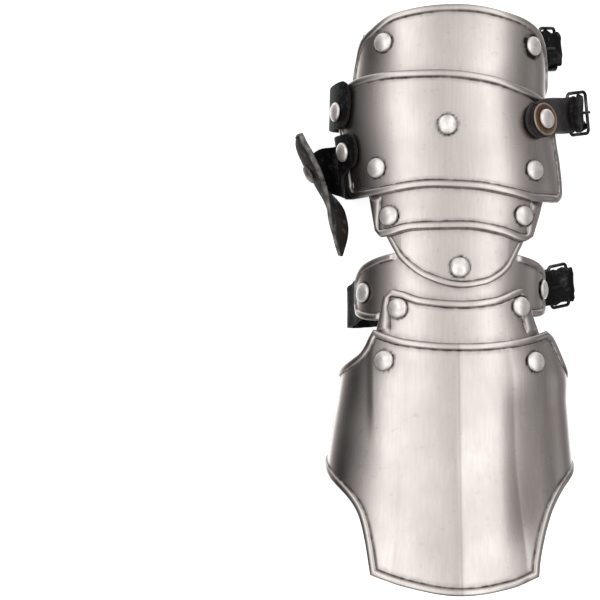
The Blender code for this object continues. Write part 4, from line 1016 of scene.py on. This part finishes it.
class Nodes:
    """A node tree under construction."""

    def __init__(self, tree):
        self.tree = tree

    def put(self, node, inputs):
        """Links or sets sockets, by name or number, and returns the node's outputs."""
        for key, value in inputs.items():
            socket = node.inputs[key]
            if isinstance(value, bpy.types.NodeSocket):
                self.tree.links.new(value, socket)
            else:
                socket.default_value = (*value, 1.0) if socket.type == "RGBA" else value
        return node.outputs

    def add(self, kind, inputs, **settings):
        node = self.tree.nodes.new("ShaderNode" + kind)
        for key, value in settings.items():
            setattr(node, key, value)
        return self.put(node, inputs)

    def lean_ramp(self, lean, stops, interpolation):
        """Colours by how far a direction leans along an axis, from -1 to 1."""
        node = self.tree.nodes.new("ShaderNodeValToRGB")
        node.color_ramp.interpolation = interpolation
        elements = node.color_ramp.elements
        while len(elements) < len(stops):
            elements.new(0.5)
        for element, (place, colour) in zip(elements, stops):
            element.position = (place + 1) / 2
            element.color = (*colour, 1.0)
        share = self.add("Math", {0: lean, 1: 0.5, 2: 0.5}, operation="MULTIPLY_ADD")[0]
        return self.put(node, {0: share})[0]


class Look(Nodes):
    """A material under construction: each method adds a node and returns its output."""

    def __init__(self, name):
        self.material = bpy.data.materials.new(name)
        self.material.use_nodes = True
        super().__init__(self.material.node_tree)
        self.place = self.add("TexCoord", {})["Object"]

    def finish(self, **inputs):
        self.put(self.tree.nodes["Principled BSDF"],
                 {key.replace("_", " "): value for key, value in inputs.items()})
        return self.material

    def noise(self, scale, detail=2.0, roughness=0.5, stretch=None):
        vector = self.place
        if stretch:
            vector = self.add("Mapping", {"Vector": vector, "Scale": stretch})[0]
        return self.add("TexNoise", {"Vector": vector, "Scale": scale, "Detail": detail,
                                     "Roughness": roughness})[0]

    def attribute(self, name):
        return self.add("Attribute", {}, attribute_name=name)["Fac"]

    def math(self, operation, a, b=0.0, clamp=False):
        return self.add("Math", {0: a, 1: b}, operation=operation, use_clamp=clamp)[0]

    def remap(self, value, low, high, to_low=0.0, to_high=1.0):
        return self.add("MapRange", {"Value": value, "From Min": low, "From Max": high,
                                     "To Min": to_low, "To Max": to_high})[0]

    def mix(self, share, a, b):
        return self.add("Mix", {0: share, 6: a, 7: b}, data_type="RGBA")[2]

    def bump(self, height, strength, distance, **normal):
        return self.add("Bump", {"Height": height, "Strength": strength,
                                 "Distance": distance, **normal})[0]


def steel_look(name, colours, cloud, streaks, roughness, metallic=1.0, specular=0.5):
    """Satin steel: faint clouds, fine brushing along the arm, a painted dark line along the keel,
    and near-black brown painted shade with some grime where the grime attribute is high.
    """
    look = Look(name)
    light, dark = colours
    clouds = look.noise(cloud, 3.0, 0.5)
    brushing = look.noise(1.0, stretch=(620.0, 22.0, 620.0))
    specks = look.remap(look.noise(230.0, 1.0), 0.66, 0.80)
    colour = look.mix(look.remap(clouds, 0.25, 0.75), dark, light)
    streaked = tuple(channel * 0.7 for channel in dark)
    colour = look.mix(look.remap(brushing, 0.25, 0.75, 0.0, streaks), colour, streaked)
    colour = look.mix(look.math("MULTIPLY", specks, 0.22), colour, SPECK)
    # A painted dark line of shade along the cuff's keel.
    keel = look.remap(look.math("ABSOLUTE", look.attribute("off_keel")), 0.0, 0.9, 0.30, 0.0)
    colour = look.mix(keel, colour, KEEL_SHADE)
    # Painted shade, with some grime, from the grime attribute, broken into patches: it darkens the
    # colour towards near-black brown and roughens it.
    broken = look.remap(look.noise(240.0), 0.3, 0.68, 0.35, 1.1)
    grime = look.math("MULTIPLY", look.attribute("grime"), broken, clamp=True)
    colour = look.mix(look.math("MULTIPLY", grime, 0.95), colour, SHADE_AND_GRIME_COLOUR)
    rough = look.remap(clouds, 0.25, 0.75, roughness + 0.05, roughness - 0.04)
    rough = look.math("ADD", rough, look.math("MULTIPLY", grime, 0.2))
    return look.finish(Base_Color=colour, Metallic=metallic, Roughness=rough,
                       Normal=look.bump(brushing, 0.06, 0.00010), Specular_IOR_Level=specular)


def leather_look(name, base, worn_share, specular):
    """Black grained leather, greyed where it has rubbed and brown along its cut edges."""
    look = Look(name)
    grain = look.add("TexVoronoi", {"Vector": look.place, "Scale": 820.0})["Distance"]
    pores = look.noise(2100.0, 2.0, 0.6)
    worn = look.remap(look.noise(150.0, 3.0, 0.65), 0.52, 0.72, 0.0, worn_share)
    rubbed = look.math("MULTIPLY", worn, look.remap(grain, 0.05, 0.5, 1.0, 0.2))
    colour = look.mix(rubbed, base, RUBBED)
    cut = look.math("MULTIPLY", look.attribute("cut"), look.remap(pores, 0.3, 0.7, 0.3, 1.0))
    colour = look.mix(cut, colour, (base[0] + 0.014, base[1] + 0.009, base[2] + 0.008))
    normal = look.bump(pores, 0.25, 0.00010, Normal=look.bump(grain, 0.55, 0.00025))
    return look.finish(Base_Color=colour, Roughness=look.remap(worn, 0.0, 1.0, 0.5, 0.7),
                       Normal=normal, Specular_IOR_Level=specular)


def wire_look(name):
    """Black japanned wire, worn to grey in patches."""
    look = Look(name)
    worn = look.remap(look.noise(160.0, 3.0, 0.6), 0.5, 0.72)
    colour = look.mix(worn, (0.018, 0.018, 0.019), (0.16, 0.155, 0.15))
    return look.finish(Base_Color=colour, Metallic=0.75,
                       Roughness=look.remap(worn, 0.0, 1.0, 0.34, 0.5),
                       Normal=look.bump(look.noise(700.0), 0.15, 0.0001))


def copper_look(name):
    """Copper browned unevenly, from red-brown to ochre, with a painted highlight on its rim and
    painted shadow round the rivet.
    """
    look = Look(name)
    patch = look.remap(look.noise(170.0, 3.0, 0.6), 0.3, 0.7, -0.35, 0.35)
    patch = look.math("ADD", look.attribute("ochre"), patch, clamp=True)
    colour = look.mix(patch, (0.23, 0.105, 0.072), (0.26, 0.165, 0.09))
    # The rim attribute paints a highlight: lighter copper on the rim.
    colour = look.mix(look.attribute("rim"), colour, (0.52, 0.42, 0.35))
    dark = look.remap(look.noise(420.0, 4.0, 0.65), 0.5, 0.75, 0.0, 0.6)
    # Painted shadow round the rivet, from the hollow attribute, joins the dark patches of tarnish.
    dark = look.math("MAXIMUM", dark, look.math("MULTIPLY", look.attribute("hollow"), 0.9))
    colour = look.mix(dark, colour, (0.035, 0.02, 0.016))
    return look.finish(Base_Color=colour, Metallic=0.9,
                       Roughness=look.remap(dark, 0.0, 1.0, 0.42, 0.6),
                       Normal=look.bump(look.noise(650.0, 3.0), 0.25, 0.00015))


# ---- the gauntlet -------------------------------------------------------------------
def tab_rivet(name):
    """Matrix and depth of the rivet through a tab; the palm's has a washer under its head."""
    spec = BUCKLES[name]
    washer = WASHER_THICK + WASHER_GAP if name == "palm" else 0.0
    return fasten_matrix(spec.plate, spec.rivet, TAB_THICK, spec.outside, washer)


def list_rivets():
    """Each rivet's name, matrix, depth and the plate that its head stands on, or None."""
    rivets = []
    for name, (outer, inner, *spot) in PLATE_RIVETS.items():
        matrix = normal_matrix(outer, *spot, outer_face(outer) + HEAD_GAP)
        depth = outer_face(outer) - outer_face(inner) + SHEET + HEAD_GAP + CLENCH_GAP
        rivets.append((name, matrix, depth, outer))
    under = {name: None if spec.outside else spec.plate for name, spec in BUCKLES.items()}
    for name in BUCKLES:
        rivets.append((f"rivet_{name}_little", *tab_rivet(name), under[name]))
    for name, spec in BUCKLES.items():
        fastening = fasten_matrix(spec.plate, STRAPS[name].rivet, LEATHER, spec.outside)
        rivets.append((f"rivet_{name}_thumb", *fastening, under[name]))
    rivets.append(("rivet_flap", *fasten_matrix("hand_plate", FLAP_RIVET, LEATHER, True), None))
    depth = SHEET + LEATHER + LEAF_GAP + RIVET_LIFT + CLENCH_GAP
    rivets.append(("rivet_leaf", leaf_matrix(), depth, None))
    return rivets


def build_gauntlet():
    steel = steel_look("satin_steel", PLATE_STEEL, 34.0, 0.26, 0.27)
    rivet_steel = steel_look("rivet_steel_satin", RIVET_STEEL, 300.0, 0.05, 0.36, 0.78)
    leaf_steel = steel_look("blackened_steel", LEAF_STEEL, 190.0, 0.5, 0.45, 0.2, 0.12)
    leather = leather_look("black_leather_grain", STRAP_BLACK, 0.7, 0.12)
    tab_leather = leather_look("charcoal_leather_grain", TAB_BLACK, 0.6, 0.25)
    wire = wire_look("black_wire_worn")
    copper = copper_look("browned_copper")

    build_washer(tab_rivet("palm")[0], copper)
    rivets = list_rivets()
    for number, (name, matrix, depth, _) in enumerate(rivets):
        look = leaf_steel if name == "rivet_leaf" else rivet_steel
        build_rivet(name, matrix, depth, look, number)

    for number, name in enumerate(PLATES):
        places = np.array([list(m.translation) for _, m, _, plate in rivets if plate == name])
        build_plate(name, number, steel, places)
    build_leaf(leaf_steel)
    for name in BUCKLES:
        build_buckle(name, wire, tab_leather if BUCKLES[name].outside else leather)
    for number, name in enumerate(STRAPS):
        build_strap(name, number, leather)
    build_flap(leather)


# ---- floor, light and camera --------------------------------------------------------
CAMERA_PLACE = (-0.0844, -0.0035, 1.066)
CAMERA_LENS = 107.14
CAMERA_SENSOR = 36
CAMERA_CLIP = 30
FLOOR_HALF = 4
FLOOR_GAP = 0.0002               # the floor lies this far below the lowest leather
BACKDROP_RADIUS = 8
STUDIO_STRENGTH = 2.0

# Brightness of the studio round the gauntlet, by how far a direction leans to +X: two long
# soft panels, one on each side, with a dimmer ceiling between them and dark walls.
STUDIO = (
    (-1.0, 0.02), (-0.97, 0.06), (-0.93, 0.14), (-0.87, 0.21), (-0.79, 0.37), (-0.68, 0.74),
    (-0.58, 1.56), (-0.47, 1.84), (-0.35, 1.50), (-0.2, 1.22), (-0.1, 0.94), (0.0, 0.74),
    (0.1, 0.94), (0.2, 1.16), (0.3, 1.40), (0.4, 1.74), (0.48, 2.0), (0.57, 1.32),
    (0.67, 0.54), (0.78, 0.35), (0.88, 0.25), (0.95, 0.20), (1.0, 0.45),
)

# The panels end towards the fingers and the elbow: their share of light by the lean to +Y.
STUDIO_ENDS = ((-1.0, 0.25), (-0.85, 0.35), (-0.3, 1.0), (0.4, 1.0), (0.95, 0.6))


def build_world():
    world = bpy.data.worlds.new("studio")
    bpy.context.scene.world = world
    world.use_nodes = True
    nodes = Nodes(world.node_tree)
    leans = nodes.add("SeparateXYZ", {0: nodes.add("TexCoord", {})["Generated"]})

    def light(value):
        """The brightest parts are a little cooler; a ramp's colours stop at 1."""
        cool = 1 - 0.045 * float(smoothstep(0.9, 1.4, value))
        return [channel / STUDIO_STRENGTH for channel in (value * cool, value, value)]

    sides = nodes.lean_ramp(leans["X"], [(lean, light(value)) for lean, value in STUDIO], "LINEAR")
    ends = nodes.lean_ramp(leans["Y"], [(lean, [value] * 3) for lean, value in STUDIO_ENDS], "EASE")
    both = nodes.add("VectorMath", {0: sides, 1: ends}, operation="MULTIPLY")[0]
    background = world.node_tree.nodes["Background"]
    nodes.put(background, {"Color": both, "Strength": STUDIO_STRENGTH})


def add_stage(name, points, faces, height, colour, roughness, glow, unseen_by):
    """A floor or backdrop, which isn't part of the gauntlet."""
    mesh = bpy.data.meshes.new(name)
    mesh.from_pydata(points, [], faces)
    mesh.materials.append(Look("pale_" + name).finish(
        Base_Color=colour, Roughness=roughness, Emission_Color=(1, 1, 1), Emission_Strength=glow))
    stage = add_object(name, mesh, (0, 0, height))
    for ray in unseen_by:
        setattr(stage, "visible_" + ray, False)


def build_stage():
    """A glowing floor, and a backdrop that only the camera sees."""
    h, r = FLOOR_HALF, BACKDROP_RADIUS
    add_stage("floor", [(-h, -h, 0), (h, -h, 0), (h, h, 0), (-h, h, 0)], [(0, 1, 2, 3)],
              CAD_BOX[0][2] - FLOOR_GAP, (0.72, 0.72, 0.72), 0.9, 0.75, ("glossy",))
    profile = [(r * math.cos(a), r * math.sin(a) - 0.5)
               for a in np.radians((1, 15, 30, 45, 60, 75, 88))]
    dome, faces = turned_mesh(profile, 48, Matrix.Identity(4))
    add_stage("backdrop", dome.tolist(), faces, 0, (0, 0, 0), 1.0, 1.0,
              ("glossy", "diffuse", "shadow", "transmission", "volume_scatter"))


def add_panel(name, location, size, energy):
    """A soft square light that faces the gauntlet and doesn't show in its polish."""
    light = bpy.data.lights.new(name, "AREA")
    light.shape, light.size, light.energy = "SQUARE", size, energy
    panel = add_object(name, light, location)
    panel.rotation_euler = (-Vector(location)).to_track_quat("-Z", "Y").to_euler()
    panel.visible_glossy = False


def build_camera():
    camera = bpy.data.cameras.new("camera")
    camera.sensor_width, camera.lens, camera.clip_end = CAMERA_SENSOR, CAMERA_LENS, CAMERA_CLIP
    bpy.context.scene.camera = add_object("camera", camera, CAMERA_PLACE)


build_gauntlet()
build_world()
build_stage()
add_panel("ceiling", (0.2, 0.3, 1.8), 2.2, 12.0)
build_camera()
bpy.context.scene.view_settings.view_transform = "Standard"
